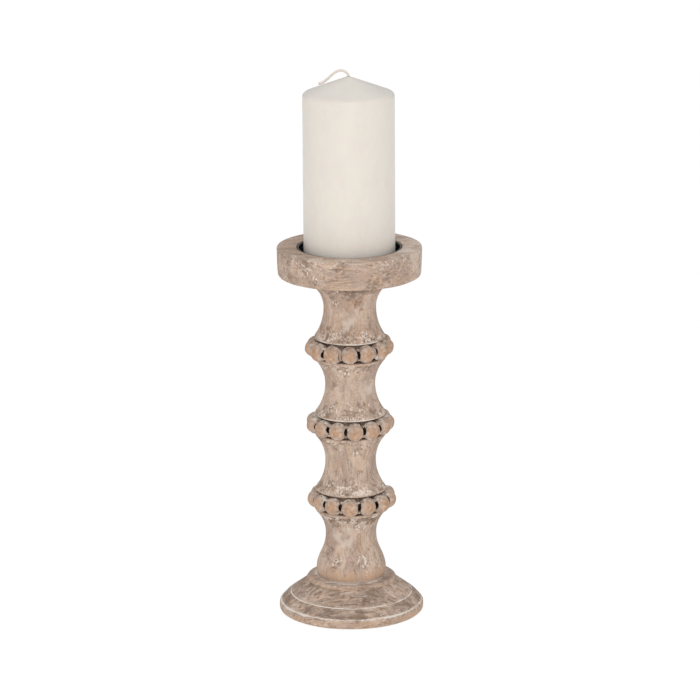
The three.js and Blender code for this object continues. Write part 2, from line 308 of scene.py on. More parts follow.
@dataclass(frozen=True)
class Finish:
    """A finish that is built up in layers over a ground colour.

    Attributes:
        name: The material's name.
        ground: The sRGB hex colour under all layers.
        layers: The layers, from the lowest up.
        seed: Where in the noise the piece is cut from.
        warp: How far the grain wanders, in millimetres.
        roughness: The smoothest and the roughest that it gets.
        relief: The size of its fibres or grains along X, Y and Z, in millimetres.
        relief_depth: How deep they are, in millimetres.
        specular: The shader's specular level.
        metallic: 1 for a bare metal.
        subsurface: How much light goes through it.
        reach: How far that light goes, in millimetres.
    """

    name: str
    ground: str
    layers: tuple[Layer, ...] = ()
    seed: float = 0.0
    warp: float = 0.0
    roughness: Pair = (0.7, 0.9)
    relief: Triple = (0.7, 0.7, 9.0)
    relief_depth: float = 0.12
    specular: float = 0.3
    metallic: float = 0.0
    subsurface: float = 0.0
    reach: float = 1.0

    def coordinates(self, tree: Tree) -> Socket:
        """Bends object coordinates a little, so that the grain isn't straight.

        Args:
            tree: The material's tree.

        Returns:
            The bent coordinates.
        """
        place = add_node(tree, "ShaderNodeTexCoord").outputs["Object"]
        if not self.warp:
            return place
        drift = {"Vector": place, "Scale": 1 / (GRAIN_DRIFT * MM), "Detail": 1.0}
        drift = add_node(tree, "ShaderNodeTexNoise", drift, noise_dimensions="4D")
        drift.inputs["W"].default_value = self.seed
        centred = {0: drift.outputs["Color"], 1: (0.5, 0.5, 0.5)}
        centred = add_node(tree, "ShaderNodeVectorMath", centred, operation="SUBTRACT").outputs[0]
        bent = {0: centred, 1: (self.warp * MM,) * 3, 2: place}
        return add_node(tree, "ShaderNodeVectorMath", bent, operation="MULTIPLY_ADD").outputs[0]

    def noise(self, tree: Tree, place: Socket, patch: Triple, shift: float, detail: float) -> Socket:
        """Adds noise, around 0.5, whose patches have a given size.

        Args:
            tree: The material's tree.
            place: The coordinates.
            patch: The size of a patch along X, Y and Z, in millimetres.
            shift: How far the noise is moved, so that no two of them coincide.
            detail: How many finer octaves it has.

        Returns:
            The noise.
        """
        scale = tuple(1 / (size * MM) for size in patch)
        moved = {"Vector": place, "Scale": scale, "Location": (self.seed, shift, self.seed + shift)}
        moved = add_node(tree, "ShaderNodeMapping", moved).outputs[0]
        patches = {"Vector": moved, "Scale": 1.0, "Detail": detail}
        return add_node(tree, "ShaderNodeTexNoise", patches).outputs[0]

    def lift(self, tree: Tree, place: Socket, layer: Layer, shift: float) -> Socket:
        """Reads a layer's mark, and breaks it into clumps where the layer has them.

        Args:
            tree: The material's tree.
            place: The coordinates.
            layer: The layer.
            shift: How far its noise is moved.

        Returns:
            The mark.
        """
        mark = add_node(tree, "ShaderNodeAttribute", attribute_name=layer.mark.value).outputs["Fac"]
        if not layer.clump:
            return mark
        clump = self.noise(tree, place, (layer.clump,) * 3, shift + CLUMP_SHIFT, 1.0)
        clump = {"Value": clump, "From Min": 0.42, "From Max": 0.6, "To Min": layer.between}
        clump = add_node(tree, "ShaderNodeMapRange", clump).outputs[0]
        return add_node(tree, "ShaderNodeMath", {0: mark, 1: clump}, operation="MULTIPLY").outputs[0]

    def loss(self, tree: Tree, place: Socket, spot: Spot) -> Socket:
        """Works out what a layer loses away from its spot.

        Args:
            tree: The material's tree.
            place: The coordinates.
            spot: The spot.

        Returns:
            The noise that is lost, from 0 at the spot's core.
        """
        away = {0: place, 1: (spot.x * MM, spot.y * MM, spot.z * MM)}
        away = add_node(tree, "ShaderNodeVectorMath", away, operation="DISTANCE").outputs["Value"]
        core, edge = SPOT_CORE * spot.radius * MM, spot.radius * MM
        lost = {"Value": away, "From Min": core, "From Max": edge, "To Max": SPOT_EDGE}
        return add_node(tree, "ShaderNodeMapRange", lost).outputs[0]

    def cover(self, tree: Tree, place: Socket, layer: Layer, shift: float) -> Socket:
        """Works out how much of the surface a layer covers.

        Args:
            tree: The material's tree.
            place: The coordinates.
            layer: The layer.
            shift: How far its noise is moved.

        Returns:
            The cover, from 0 to the layer's amount.
        """
        value = self.noise(tree, place, layer.patch, shift, layer.detail)
        if layer.mark:
            lifted = {0: self.lift(tree, place, layer, shift), 1: layer.gain, 2: value}
            value = add_node(tree, "ShaderNodeMath", lifted, operation="MULTIPLY_ADD").outputs[0]
        if layer.spot:
            kept = {0: value, 1: self.loss(tree, place, layer.spot)}
            value = add_node(tree, "ShaderNodeMath", kept, operation="SUBTRACT").outputs[0]
        reach = {"Value": value, "From Min": layer.low, "From Max": layer.high, "To Max": layer.amount}
        return add_node(tree, "ShaderNodeMapRange", reach, interpolation_type="SMOOTHSTEP").outputs[0]

    def build(self) -> bpy.types.Material:
        """Makes the material.

        Returns:
            The material.
        """
        material = bpy.data.materials.new(self.name)
        material.use_nodes = True
        tree = material.node_tree
        shader = tree.nodes["Principled BSDF"]
        shader.inputs["Specular IOR Level"].default_value = self.specular
        shader.inputs["Metallic"].default_value = self.metallic
        shader.inputs["Subsurface Weight"].default_value = self.subsurface
        shader.inputs["Subsurface Scale"].default_value = self.reach * MM
        shader.inputs["Base Color"].default_value = linear(self.ground)
        place = self.coordinates(tree)
        colour = linear(self.ground)
        for number, layer in enumerate(self.layers, start=1):
            cover = self.cover(tree, place, layer, LAYER_SHIFT * number)
            mix = {0: cover, 6: colour, 7: linear(layer.colour)}
            colour = add_node(tree, "ShaderNodeMix", mix, data_type="RGBA").outputs[2]
        if self.layers:
            tree.links.new(colour, shader.inputs["Base Color"])
        fibres = self.noise(tree, place, self.relief, RELIEF_SHIFT, 4.0)
        smooth, rough = self.roughness
        polish = {"Value": fibres, "From Min": 0.3, "From Max": 0.7, "To Min": rough, "To Max": smooth}
        tree.links.new(add_node(tree, "ShaderNodeMapRange", polish).outputs[0], shader.inputs["Roughness"])
        bump = {"Height": fibres, "Distance": self.relief_depth * MM, "Strength": 0.6}
        tree.links.new(add_node(tree, "ShaderNodeBump", bump).outputs[0], shader.inputs["Normal"])
        return material


def along(grain: Grain, width: float, length: float) -> Triple:
    """The size of a patch that is drawn out along the grain."""
    return tuple(length if axis == grain.value else width for axis in "XYZ")


def whitewashed_mango(
    name: str, grain: Grain, seed: float, weathering: float, blemishes: Blemishes
) -> bpy.types.Material:
    """Mango wood, turned, stained brown, washed with thin white paint and rubbed back.

    The wash leaves a pale pinkish film with the grain showing through it, chips of white near the edges, and
    a white line in each recess that the rubbing doesn't reach.

    Args:
        name: The material's name.
        grain: The way that the grain runs.
        seed: Where in the noise this piece is cut from.
        weathering: How much grey-brown grain and mottling shows, from 0 to 1.
        blemishes: The blemishes of this piece.

    Returns:
        The material.
    """
    much = weathering
    layers = (
        Layer("cfb7a4", along(grain, 15, 34), 0.42, 0.6, 0.8),
        Layer("c09e7e", along(grain, 8, 11 + 18 * much), 0.5, 0.64, 0.35),
        Layer("8a7b70", along(grain, 5, 9 + 24 * much), 0.5 - 0.12 * much, 0.72, 0.35 + 0.3 * much, 4.0),
        Layer("705b4b", along(grain, 1.8, 8 + 34 * much), 0.52, 0.68, 0.2 + 0.55 * much, 2.0),
        Layer("dccbbe", along(grain, 1.4, 6 + 18 * much), 0.55, 0.67, 0.25 + 0.15 * much, 2.0),
        Layer("7d6757", (1.6, 1.6, 1.6), 0.54, 0.7, 0.38),
        Layer("dccabd", (1.4, 1.4, 1.4), 0.57, 0.7, 0.4),
        Layer("7c5335", (7, 7, 7), 0.64, 0.78, 0.5, 6.0),
        Layer("be9d82", (7, 7, 7), 0.6, 1.25, 0.75, mark=Mark.BARE, gain=0.8, clump=16, between=0.6),
        # grey-brown glazing, and painted shade in the corners, under the plate and on the base
        Layer("75604e", along(grain, 3, 8 + 14 * much), 0.7, 1.15, 0.7, 4.0, mark=Mark.GLAZE, gain=0.6,
              clump=14, between=0.45),
        # brown shade painted round the white flecks
        Layer("725c4b", along(grain, 3, 5), 0.6, 0.8, 0.6, mark=Mark.FLECKS, gain=0.2, clump=10),
        Layer("e6d8cc", along(grain, 1.5, 2.6), 0.66, 0.8, 0.75, 4.0, mark=Mark.FLECKS, gain=0.2, clump=9),
        *blemishes.layers(),
        Layer("e2d8ce", (2.2, 2.2, 2.2), 1.0, 1.5, 0.9, mark=Mark.PAINT, gain=1.0, clump=18, between=0.6),
        # near-black painted shade on the necks behind the beads
        Layer("2a2019", (4, 4, 4), 0.8, 1.2, 0.95, mark=Mark.STAIN, gain=1.0),
    )
    return Finish(name, "b29a8a", layers, seed, warp=6.0 - 4.0 * much, relief=along(grain, 0.7, 9)).build()


def painted_beech(name: str, seed: float) -> bpy.types.Material:
    """Turned beech beads, whitewashed on the string: pale in the joints and rubbed to tan on their faces.

    Args:
        name: The material's name.
        seed: Where in the noise the beads are cut from.

    Returns:
        The material.
    """
    layers = (
        Layer("c9b7a8", (3, 3, 4), 0.42, 0.6, 0.7),
        Layer("8b7566", (2, 2, 3), 0.5, 0.68, 0.5),
        Layer("bd9676", (3.2, 3.2, 3.2), 0.65, 1.05, 0.7, 4.0, mark=Mark.BARE, gain=0.6),
        Layer("8a6a50", (3, 3, 3), 0.76, 1.1, 0.5, 4.0, mark=Mark.BARE, gain=0.4),
        # grey-brown dirt and painted shade towards the sides of the beads
        Layer("8a7464", (3, 3, 3), 0.7, 1.05, 0.65, mark=Mark.GLAZE, gain=0.6),
        Layer("d8cabe", (3.5, 3.5, 3.5), 0.54, 0.68, 0.45),
        Layer("dad0c6", (3.2, 3.2, 3.2), 0.8, 1.0, 0.85, mark=Mark.PAINT, gain=0.4),
        # near-black painted shade in the holes and on the flat ends, in the joints
        Layer("1c1612", (4, 4, 4), 1.1, 1.4, 0.95, mark=Mark.STAIN, gain=1.0),
    )
    return Finish(name, "b09887", layers, seed, relief=(0.8, 0.8, 1.6), relief_depth=0.2).build()


def poured_wax() -> bpy.types.Material:
    """Pillar wax, poured and polished: light goes a few millimetres in, and the skin has a satin sheen.

    Returns:
        The material.
    """
    layers = (Layer("dad2c9", (16, 16, 30), 0.42, 0.62, 0.4), Layer("e5ded6", (5, 5, 9), 0.5, 0.7, 0.25))
    return Finish("ivory_pillar_wax", "dfd8ce", layers, roughness=(0.3, 0.4), relief=(9, 9, 14),
                  relief_depth=0.05, specular=0.4, subsurface=0.12, reach=4.0).build()


def stoved_enamel() -> bpy.types.Material:
    """Black stoving enamel on pressed steel: glossy, with a little dust.

    Returns:
        The material.
    """
    layers = (Layer("34322f", (2, 2, 2), 0.58, 0.75, 0.3),)
    return Finish("black_stoving_enamel", "0d0d0e", layers, seed=1.0, roughness=(0.16, 0.3), relief=(3, 3, 3),
                  relief_depth=0.03, specular=0.5).build()


def zinc_plate() -> bpy.types.Material:
    """Zinc plating on steel fasteners: a grey metal with a faint mottle.

    Returns:
        The material.
    """
    layers = (Layer("8f949a", (1.5, 1.5, 1.5), 0.45, 0.65, 0.6),)
    return Finish("zinc_plated_steel", "b4b8bd", layers, seed=2.0, roughness=(0.3, 0.5),
                  relief=(0.6, 0.6, 0.6), relief_depth=0.02, specular=0.5, metallic=1.0).build()


def annealed_wire() -> bpy.types.Material:
    """Annealed iron wire: dark scale with brown spots.

    Returns:
        The material.
    """
    layers = (Layer("4a3526", (0.8, 0.8, 0.8), 0.52, 0.66, 0.6),)
    return Finish("annealed_iron_wire", "26231f", layers, seed=3.0, roughness=(0.5, 0.7),
                  relief=(0.5, 0.5, 0.5), relief_depth=0.03, specular=0.5, metallic=0.8).build()


def wool_felt() -> bpy.types.Material:
    """Pressed wool felt: brown fibres laid every way.

    Returns:
        The material.
    """
    layers = (Layer("6a5c50", (0.5, 3, 0.5), 0.5, 0.66, 0.6), Layer("352d26", (3, 0.5, 0.5), 0.5, 0.66, 0.6))
    return Finish("pressed_wool_felt", "4a4038", layers, seed=4.0, warp=2.0, roughness=(0.9, 1.0),
                  relief=(0.5, 0.5, 0.5), relief_depth=0.3, specular=0.1).build()


def plied_cotton() -> bpy.types.Material:
    """Plied cotton wick, dipped in wax: off-white strands, with darker shade painted into the grooves between
    them.

    Returns:
        The material.
    """
    layers = (
        Layer("d3c3b6", (0.6, 0.6, 0.6), 0.45, 0.62, 0.5),
        # darker painted shade in the grooves between the strands
        Layer("a38f80", (0.8, 0.8, 0.8), 0.85, 1.35, 0.8, mark=Mark.STAIN, gain=1.0),
    )
    return Finish("plied_cotton_wick", "ece2d8", layers, seed=5.0, roughness=(0.7, 0.9),
                  relief=(0.3, 0.3, 0.3), relief_depth=0.05, specular=0.3).build()


# ---------- Outlines and the tree that turns them ----------

WAVER_LENGTH = 24.0  # millimetres between the swells of a turned surface
WELD = 0.001  # millimetres within which the seam and the poles close


@dataclass
class Outline:
    """The outline of a turned piece, drawn anticlockwise: out, up the side, in, and down the bore.

    Attributes:
        step: The longest step along a visible stretch, in metres.
        points: The radius and height of each point, in metres.
        fine: Whether each point is on a visible stretch, which has its corners worn.
        marks: The value of each mark at each point.
    """

    step: float = 0.45 * MM
    points: list[Pair] = field(default_factory=list)
    fine: list[bool] = field(default_factory=list)
    marks: dict[Mark, list[float]] = field(default_factory=lambda: {mark: [] for mark in Mark})

    def add(self, radius: float, height: float, fine: bool, marks: dict[Mark, float]) -> None:
        """Adds one point.

        Args:
            radius: Its radius in millimetres.
            height: Its height in millimetres.
            fine: Whether it shows.
            marks: The value of each mark that it carries.
        """
        self.points.append((radius * MM, height * MM))
        self.fine.append(fine)
        for mark, values in self.marks.items():
            values.append(marks.get(mark, 0.0))

    def inside(self, *corners: Pair, stain: float = 0.0) -> None:
        """Adds corners that don't show.

        Args:
            *corners: The radius and height of each, in millimetres.
            stain: How much shade is painted there.
        """
        for radius, height in corners:
            self.add(radius, height, False, {Mark.STAIN: stain})

    def follow(self, curve: Callable[[float], Pair], length: float, **marks: Ramp) -> None:
        """Adds a visible stretch.

        Args:
            curve: Gives radius and height in millimetres for a share from 0 to 1 of the stretch.
            length: Its length in millimetres.
            **marks: The stretch's marks by name, each one number or its values at the start and the end.
        """
        count = max(2, math.ceil(length * MM / self.step))
        for i in range(1, count + 1):
            values = {}
            for name, mark in marks.items():
                start, end = mark if isinstance(mark, tuple) else (mark, mark)
                values[Mark(name)] = start + (end - start) * i / count
            self.add(*curve(i / count), True, values)

    def line(self, radius: float, height: float, **marks: Ramp) -> None:
        """Adds a straight visible stretch.

        Args:
            radius: The radius of its end in millimetres.
            height: The height of its end in millimetres.
            **marks: Its marks by name.
        """
        from_radius, from_height = (value / MM for value in self.points[-1])
        length = math.hypot(radius - from_radius, height - from_height)

        def curve(share: float) -> Pair:
            """A point on the line."""
            return from_radius + share * (radius - from_radius), from_height + share * (height - from_height)

        self.follow(curve, length, **marks)

    def bend(self, *controls: Pair, **marks: Ramp) -> None:
        """Adds a visible Bezier stretch.

        Args:
            *controls: Its control points after the last point, with its end as the last of them.
            **marks: Its marks by name.
        """
        start = tuple(value / MM for value in self.points[-1])
        poles = [start, *controls]
        last = len(poles) - 1
        length = sum(math.dist(a, b) for a, b in zip(poles, poles[1:]))

        def curve(share: float) -> Pair:
            """A point on the Bezier curve."""
            weights = [math.comb(last, i) * share**i * (1 - share) ** (last - i) for i in range(last + 1)]
            return tuple(sum(w * pole[k] for w, pole in zip(weights, poles)) for k in (0, 1))

        self.follow(curve, length, **marks)

    def arc(self, centre: Pair, radius: float, start: float, end: float, **marks: Ramp) -> None:
        """Adds a visible arc.

        Args:
            centre: The radius and height of its centre, in millimetres.
            radius: Its own radius in millimetres.
            start: The angle that it starts at, in degrees, 0 outwards and 90 up.
            end: The angle that it ends at.
            **marks: Its marks by name.
        """

        def curve(share: float) -> Pair:
            """A point on the arc."""
            angle = math.radians(start + share * (end - start))
            return centre[0] + radius * math.cos(angle), centre[1] + radius * math.sin(angle)

        self.follow(curve, radius * math.radians(abs(end - start)), **marks)

    def half_cove(self, lip: Pair, waist: Pair, **marks: Ramp) -> None:
        """Adds one half of a cove: an arc between a lip and the waist, upright at the waist.

        Args:
            lip: The radius and height of the cove's end at the lip, in millimetres.
            waist: The radius and height of its waist.
            **marks: Its marks by name.
        """
        run, rise = lip[0] - waist[0], lip[1] - waist[1]
        radius = (run * run + rise * rise) / (2 * run)
        lip_angle = 180 - math.degrees(math.asin(rise / radius))
        start, end = (180, lip_angle) if rise > 0 else (lip_angle, 180)
        self.arc((waist[0] + radius, waist[1]), radius, start, end, **marks)

    def worn(self, passes: int) -> "Outline":
        """Rubs the corners of the visible stretches round.

        Args:
            passes: How many times each point is moved towards its neighbours.

        Returns:
            The outline itself.
        """
        for _ in range(passes):
            before = list(self.points)
            for i in range(1, len(before) - 1):
                if all(self.fine[i - 1 : i + 2]):
                    near = before[i - 1], before[i], before[i + 1]
                    self.points[i] = tuple(0.25 * a + 0.5 * b + 0.25 * c for a, b, c in zip(*near))
        return self

    def mesh(self, name: str) -> bpy.types.Mesh:
        """Makes a mesh of one vertex for each point, closed by the first point unless that is on the axis.

        Args:
            name: The mesh's name.

        Returns:
            The mesh, with a point attribute for each mark.
        """
        mesh = bpy.data.meshes.new(name)
        closing = 0 if self.points[0][0] == 0 else 1
        loop = [*self.points, *self.points[:closing]]
        mesh.from_pydata([(radius, 0, height) for radius, height in loop], [], [])
        for mark, values in self.marks.items():
            attribute = mesh.attributes.new(mark.value, "FLOAT", "POINT")
            attribute.data.foreach_set("value", [*values, *values[:closing]])
        return mesh


def swept(tree: Tree, outline: Socket, sides: Socket) -> Socket:
    """Turns an outline round the Z axis, with its marks.

    Args:
        tree: The geometry tree.
        outline: The outline's points, in order.
        sides: How many sides the turned mesh has.

    Returns:
        The turned mesh, closed at its seam and poles.
    """
    rows = add_node(tree, "GeometryNodeAttributeDomainSize", {0: outline}, component="MESH")
    rows = rows.outputs["Point Count"]
    columns = add_node(tree, "ShaderNodeMath", {0: sides, 1: 1.0}, operation="ADD").outputs[0]
    grid = {"Size X": 1.0, "Size Y": 1.0, "Vertices X": columns, "Vertices Y": rows}
    geometry = add_node(tree, "GeometryNodeMeshGrid", grid).outputs["Mesh"]
    place = add_node(tree, "GeometryNodeInputPosition").outputs[0]
    spot = add_node(tree, "ShaderNodeSeparateXYZ", {0: place})
    turn = {0: spot.outputs["X"], 1: 2 * math.pi, 2: math.pi}
    turn = add_node(tree, "ShaderNodeMath", turn, operation="MULTIPLY_ADD").outputs[0]
    last = add_node(tree, "ShaderNodeMath", {0: rows, 1: 1.0}, operation="SUBTRACT").outputs[0]
    share = add_node(tree, "ShaderNodeMath", {0: spot.outputs["Y"], 1: 0.5}, operation="ADD").outputs[0]
    row = add_node(tree, "ShaderNodeMath", {0: share, 1: last}, operation="MULTIPLY").outputs[0]
    row = add_node(tree, "ShaderNodeMath", {0: row}, operation="ROUND").outputs[0]
    point = {"Geometry": outline, "Value": place, "Index": row}
    point = add_node(tree, "GeometryNodeSampleIndex", point, data_type="FLOAT_VECTOR", domain="POINT")
    point = add_node(tree, "ShaderNodeSeparateXYZ", {0: point.outputs[0]})
    cosine = add_node(tree, "ShaderNodeMath", {0: turn}, operation="COSINE").outputs[0]
    sine = add_node(tree, "ShaderNodeMath", {0: turn}, operation="SINE").outputs[0]
    x = add_node(tree, "ShaderNodeMath", {0: point.outputs["X"], 1: cosine}, operation="MULTIPLY").outputs[0]
    y = add_node(tree, "ShaderNodeMath", {0: point.outputs["X"], 1: sine}, operation="MULTIPLY").outputs[0]
    turned = add_node(tree, "ShaderNodeCombineXYZ", {"X": x, "Y": y, "Z": point.outputs["Z"]}).outputs[0]
    for mark in Mark:
        named = add_node(tree, "GeometryNodeInputNamedAttribute", {"Name": mark.value}, data_type="FLOAT")
        value = {"Geometry": outline, "Value": named.outputs[0], "Index": row}
        value = add_node(tree, "GeometryNodeSampleIndex", value, data_type="FLOAT", domain="POINT").outputs[0]
        stored = {"Geometry": geometry, "Name": mark.value, "Value": value}
        stored = add_node(tree, "GeometryNodeStoreNamedAttribute", stored, data_type="FLOAT", domain="POINT")
        geometry = stored.outputs[0]
    laid = add_node(tree, "GeometryNodeSetPosition", {"Geometry": geometry, "Position": turned}).outputs[0]
    welded = {"Geometry": laid, "Distance": WELD * MM}
    return add_node(tree, "GeometryNodeMergeByDistance", welded).outputs[0]


def roughened(tree: Tree, group: bpy.types.Node, geometry: Socket) -> Socket:
    """Adds a slow waver and small dents along the normals of a turned mesh.

    Args:
        tree: The geometry tree.
        group: Its Group Input node.
        geometry: The mesh.

    Returns:
        The roughened mesh.
    """
    normal = add_node(tree, "GeometryNodeInputNormal").outputs[0]
    place = add_node(tree, "GeometryNodeInputPosition").outputs[0]
    seed = add_node(tree, "ShaderNodeCombineXYZ", {"Z": group.outputs["Seed"]}).outputs[0]
    moved = add_node(tree, "ShaderNodeVectorMath", {0: place, 1: seed}, operation="ADD").outputs[0]
    slow = {"Vector": moved, "Scale": 1 / (WAVER_LENGTH * MM), "Detail": 1.0}
    slow = add_node(tree, "ShaderNodeTexNoise", slow).outputs[0]
    slow = add_node(tree, "ShaderNodeMath", {0: slow, 1: 0.5}, operation="SUBTRACT").outputs[0]
    slow = {0: slow, 1: group.outputs["Waver"]}
    slow = add_node(tree, "ShaderNodeMath", slow, operation="MULTIPLY").outputs[0]
    scale = add_node(tree, "ShaderNodeMath", {0: 1.0, 1: group.outputs["Dent Size"]}, operation="DIVIDE")
    quick = {"Vector": moved, "Scale": scale.outputs[0], "Detail": 3.0}
    quick = add_node(tree, "ShaderNodeTexNoise", quick).outputs[0]
    hollow = {"Value": quick, "From Min": 0.5, "From Max": 0.72, "To Max": -1.0}
    hollow = add_node(tree, "ShaderNodeMapRange", hollow).outputs[0]
    depth = {0: hollow, 1: group.outputs["Dents"], 2: slow}
    depth = add_node(tree, "ShaderNodeMath", depth, operation="MULTIPLY_ADD").outputs[0]
    offset = add_node(tree, "ShaderNodeVectorMath", {0: normal, "Scale": depth}, operation="SCALE").outputs[0]
    return add_node(tree, "GeometryNodeSetPosition", {"Geometry": geometry, "Offset": offset}).outputs[0]


def turning_tree() -> Tree:
    """Builds the tree that turns an outline and roughens it as handwork does.

    Returns:
        The tree.
    """
    sockets = {"Sides": "Int", "Waver": "Float", "Dents": "Float", "Dent Size": "Float", "Seed": "Float",
               "Material": "Material"}
    tree, group = geometry_tree("Turning", sockets)
    geometry = swept(tree, group.outputs["Geometry"], group.outputs["Sides"])
    geometry = roughened(tree, group, geometry)
    smooth = add_node(tree, "GeometryNodeSetShadeSmooth", {"Geometry": geometry, "Shade Smooth": True})
    close_tree(tree, smooth.outputs[0], group.outputs["Material"])
    return tree


@dataclass
class Turning:
    """A piece that is turned from one outline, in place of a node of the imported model.

    Attributes:
        node: The node that it replaces.
        name: The piece's name.
        slot: The name of its material slot.
        body: The body that it moves with.
        sides: How many sides the turned mesh has.
        waver: How far its surface swells and sinks, in millimetres.
        dents: How deep its dents are.
        dent_size: How wide they are.
        wear: How many times its corners are rubbed.
        seed: Where in the noise it is cut from.
        grain: The way that its grain runs.
        weathering: How much grey-brown grain and mottling shows, from 0 to 1.
        blemishes: Its blemishes.
    """

    node: str
    name: str
    slot: str = "whitewashed_wood"
    body: str = HOLDER
    sides: int = 256
    waver: float = 0.5
    dents: float = 0.12
    dent_size: float = 3.5
    wear: int = 3
    seed: float = 0.0
    grain: Grain = Grain.UPRIGHT
    weathering: float = 0.1
    blemishes: Blemishes = Blemishes()

    def outline(self, foot: float) -> Outline:
        """Draws the outline.

        Args:
            foot: The height of the node's lowest point, in millimetres.

        Returns:
            The outline.
        """
        raise NotImplementedError

    def material(self) -> bpy.types.Material:
        """Makes the finish of the piece, whitewashed wood unless its class has another."""
        name = f"whitewashed_mango_{self.node}"
        return whitewashed_mango(name, self.grain, self.seed, self.weathering, self.blemishes)

    def build(self, tree: Tree) -> bpy.types.Object:
        """Turns the piece and puts it in place of its node.

        Args:
            tree: The turning tree.

        Returns:
            The piece.
        """
        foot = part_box(self.node)[0].z / MM
        mesh = self.outline(foot).worn(self.wear).mesh(self.name)
        values = {"Sides": self.sides, "Waver": self.waver * MM, "Dents": self.dents * MM,
                  "Dent Size": self.dent_size * MM, "Seed": self.seed, "Material": self.material()}
        return finished(run_trees(self.name, mesh, [(tree, values)]), self.body, self.slot, self.node)


# ---------- The wooden pieces ----------


@dataclass(frozen=True)
class Column:
    """Sizes that the pieces of the column share, in millimetres.

    Attributes:
        bore: The radius of the bore for the rod.
        fit: The air round a neck or a spigot in its socket.
        neck: The radius of the neck inside a bead ring.
        neck_height: How far it stands up from the shoulder.
        socket_depth: How far it goes into the spool above.
        spigot: The radius of the spigots on the base and the upper spool.
        spigot_height: How far they stand up.
        lip: The radius of the lips and shoulders.
        lip_thickness: How thick a lip is at its edge.
        shoulder_height: How thick a shoulder is at its edge.
        shoulder_width: How wide the painted top of a shoulder is.
        groove: How far a lip is above the shoulder that it faces.
    """

    bore: float = 3.5
    fit: float = 0.3
    neck: float = 21.08
    neck_height: float = 21.6
    socket_depth: float = 6.0
    spigot: float = 18.0
    spigot_height: float = 4.0
    lip: float = 29.58
    lip_thickness: float = 1.6
    shoulder_height: float = 2.2
    shoulder_width: float = 5.0
    groove: float = 15.9


@dataclass
class Stacked(Turning):
    """A wooden piece that is stacked on the rod.

    Attributes:
        column: The sizes that it shares with its neighbours.
    """

    column: Column = Column()

    def spigot_socket(self, foot: float) -> Outline:
        """Starts an outline with the bore and the socket that takes a spigot.

        Args:
            foot: The height of the piece's lowest point, in millimetres.

        Returns:
            The outline so far.
        """
        c = self.column
        ceiling = foot + c.spigot_height + c.fit
        line = Outline()
        line.inside((c.bore, ceiling), (c.spigot + c.fit, ceiling), (c.spigot + c.fit, foot))
        return line

    def lipped_socket(self, foot: float, paint: float) -> Outline:
        """Starts an outline with the socket that takes a neck, and the lip round it.

        Args:
            foot: The height of the piece's lowest point, in millimetres.
            paint: How much paint is on the edge of the lip.

        Returns:
            The outline so far.
        """
        c = self.column
        ceiling = foot + c.socket_depth
        line = Outline()
        line.inside((c.bore, ceiling), (c.neck + c.fit, ceiling), (c.neck + c.fit, foot))
        line.line(c.lip, foot, paint=0.4)
        line.line(c.lip, foot + c.lip_thickness, paint=(paint, 0.6))
        return line

    def neck(self, line: Outline, top: float) -> None:
        """Draws the edge of a shoulder, its top under the beads, and the neck behind them.

        Args:
            line: The outline so far.
            top: The height of the shoulder's top, in millimetres.
        """
        c = self.column
        line.line(c.lip, top, paint=0.45)
        line.line(c.lip - c.shoulder_width, top, paint=0.6)
        # Shade is painted on the neck behind the beads, darkest at its foot next to the shoulder.
        line.line(c.neck, top, stain=(0.1, 0.8))
        line.line(c.neck, top + c.groove, stain=(0.8, 0.2))
        line.inside((c.neck, top + c.neck_height), (c.bore, top + c.neck_height))

    def spigot(self, line: Outline, top: float) -> None:
        """Draws the last of a flat top, and the spigot on it.

        Args:
            line: The outline so far.
            top: The height of the flat top, in millimetres.
        """
        c = self.column
        line.line(c.spigot, top)
        line.inside((c.spigot, top + c.spigot_height), (c.bore, top + c.spigot_height))


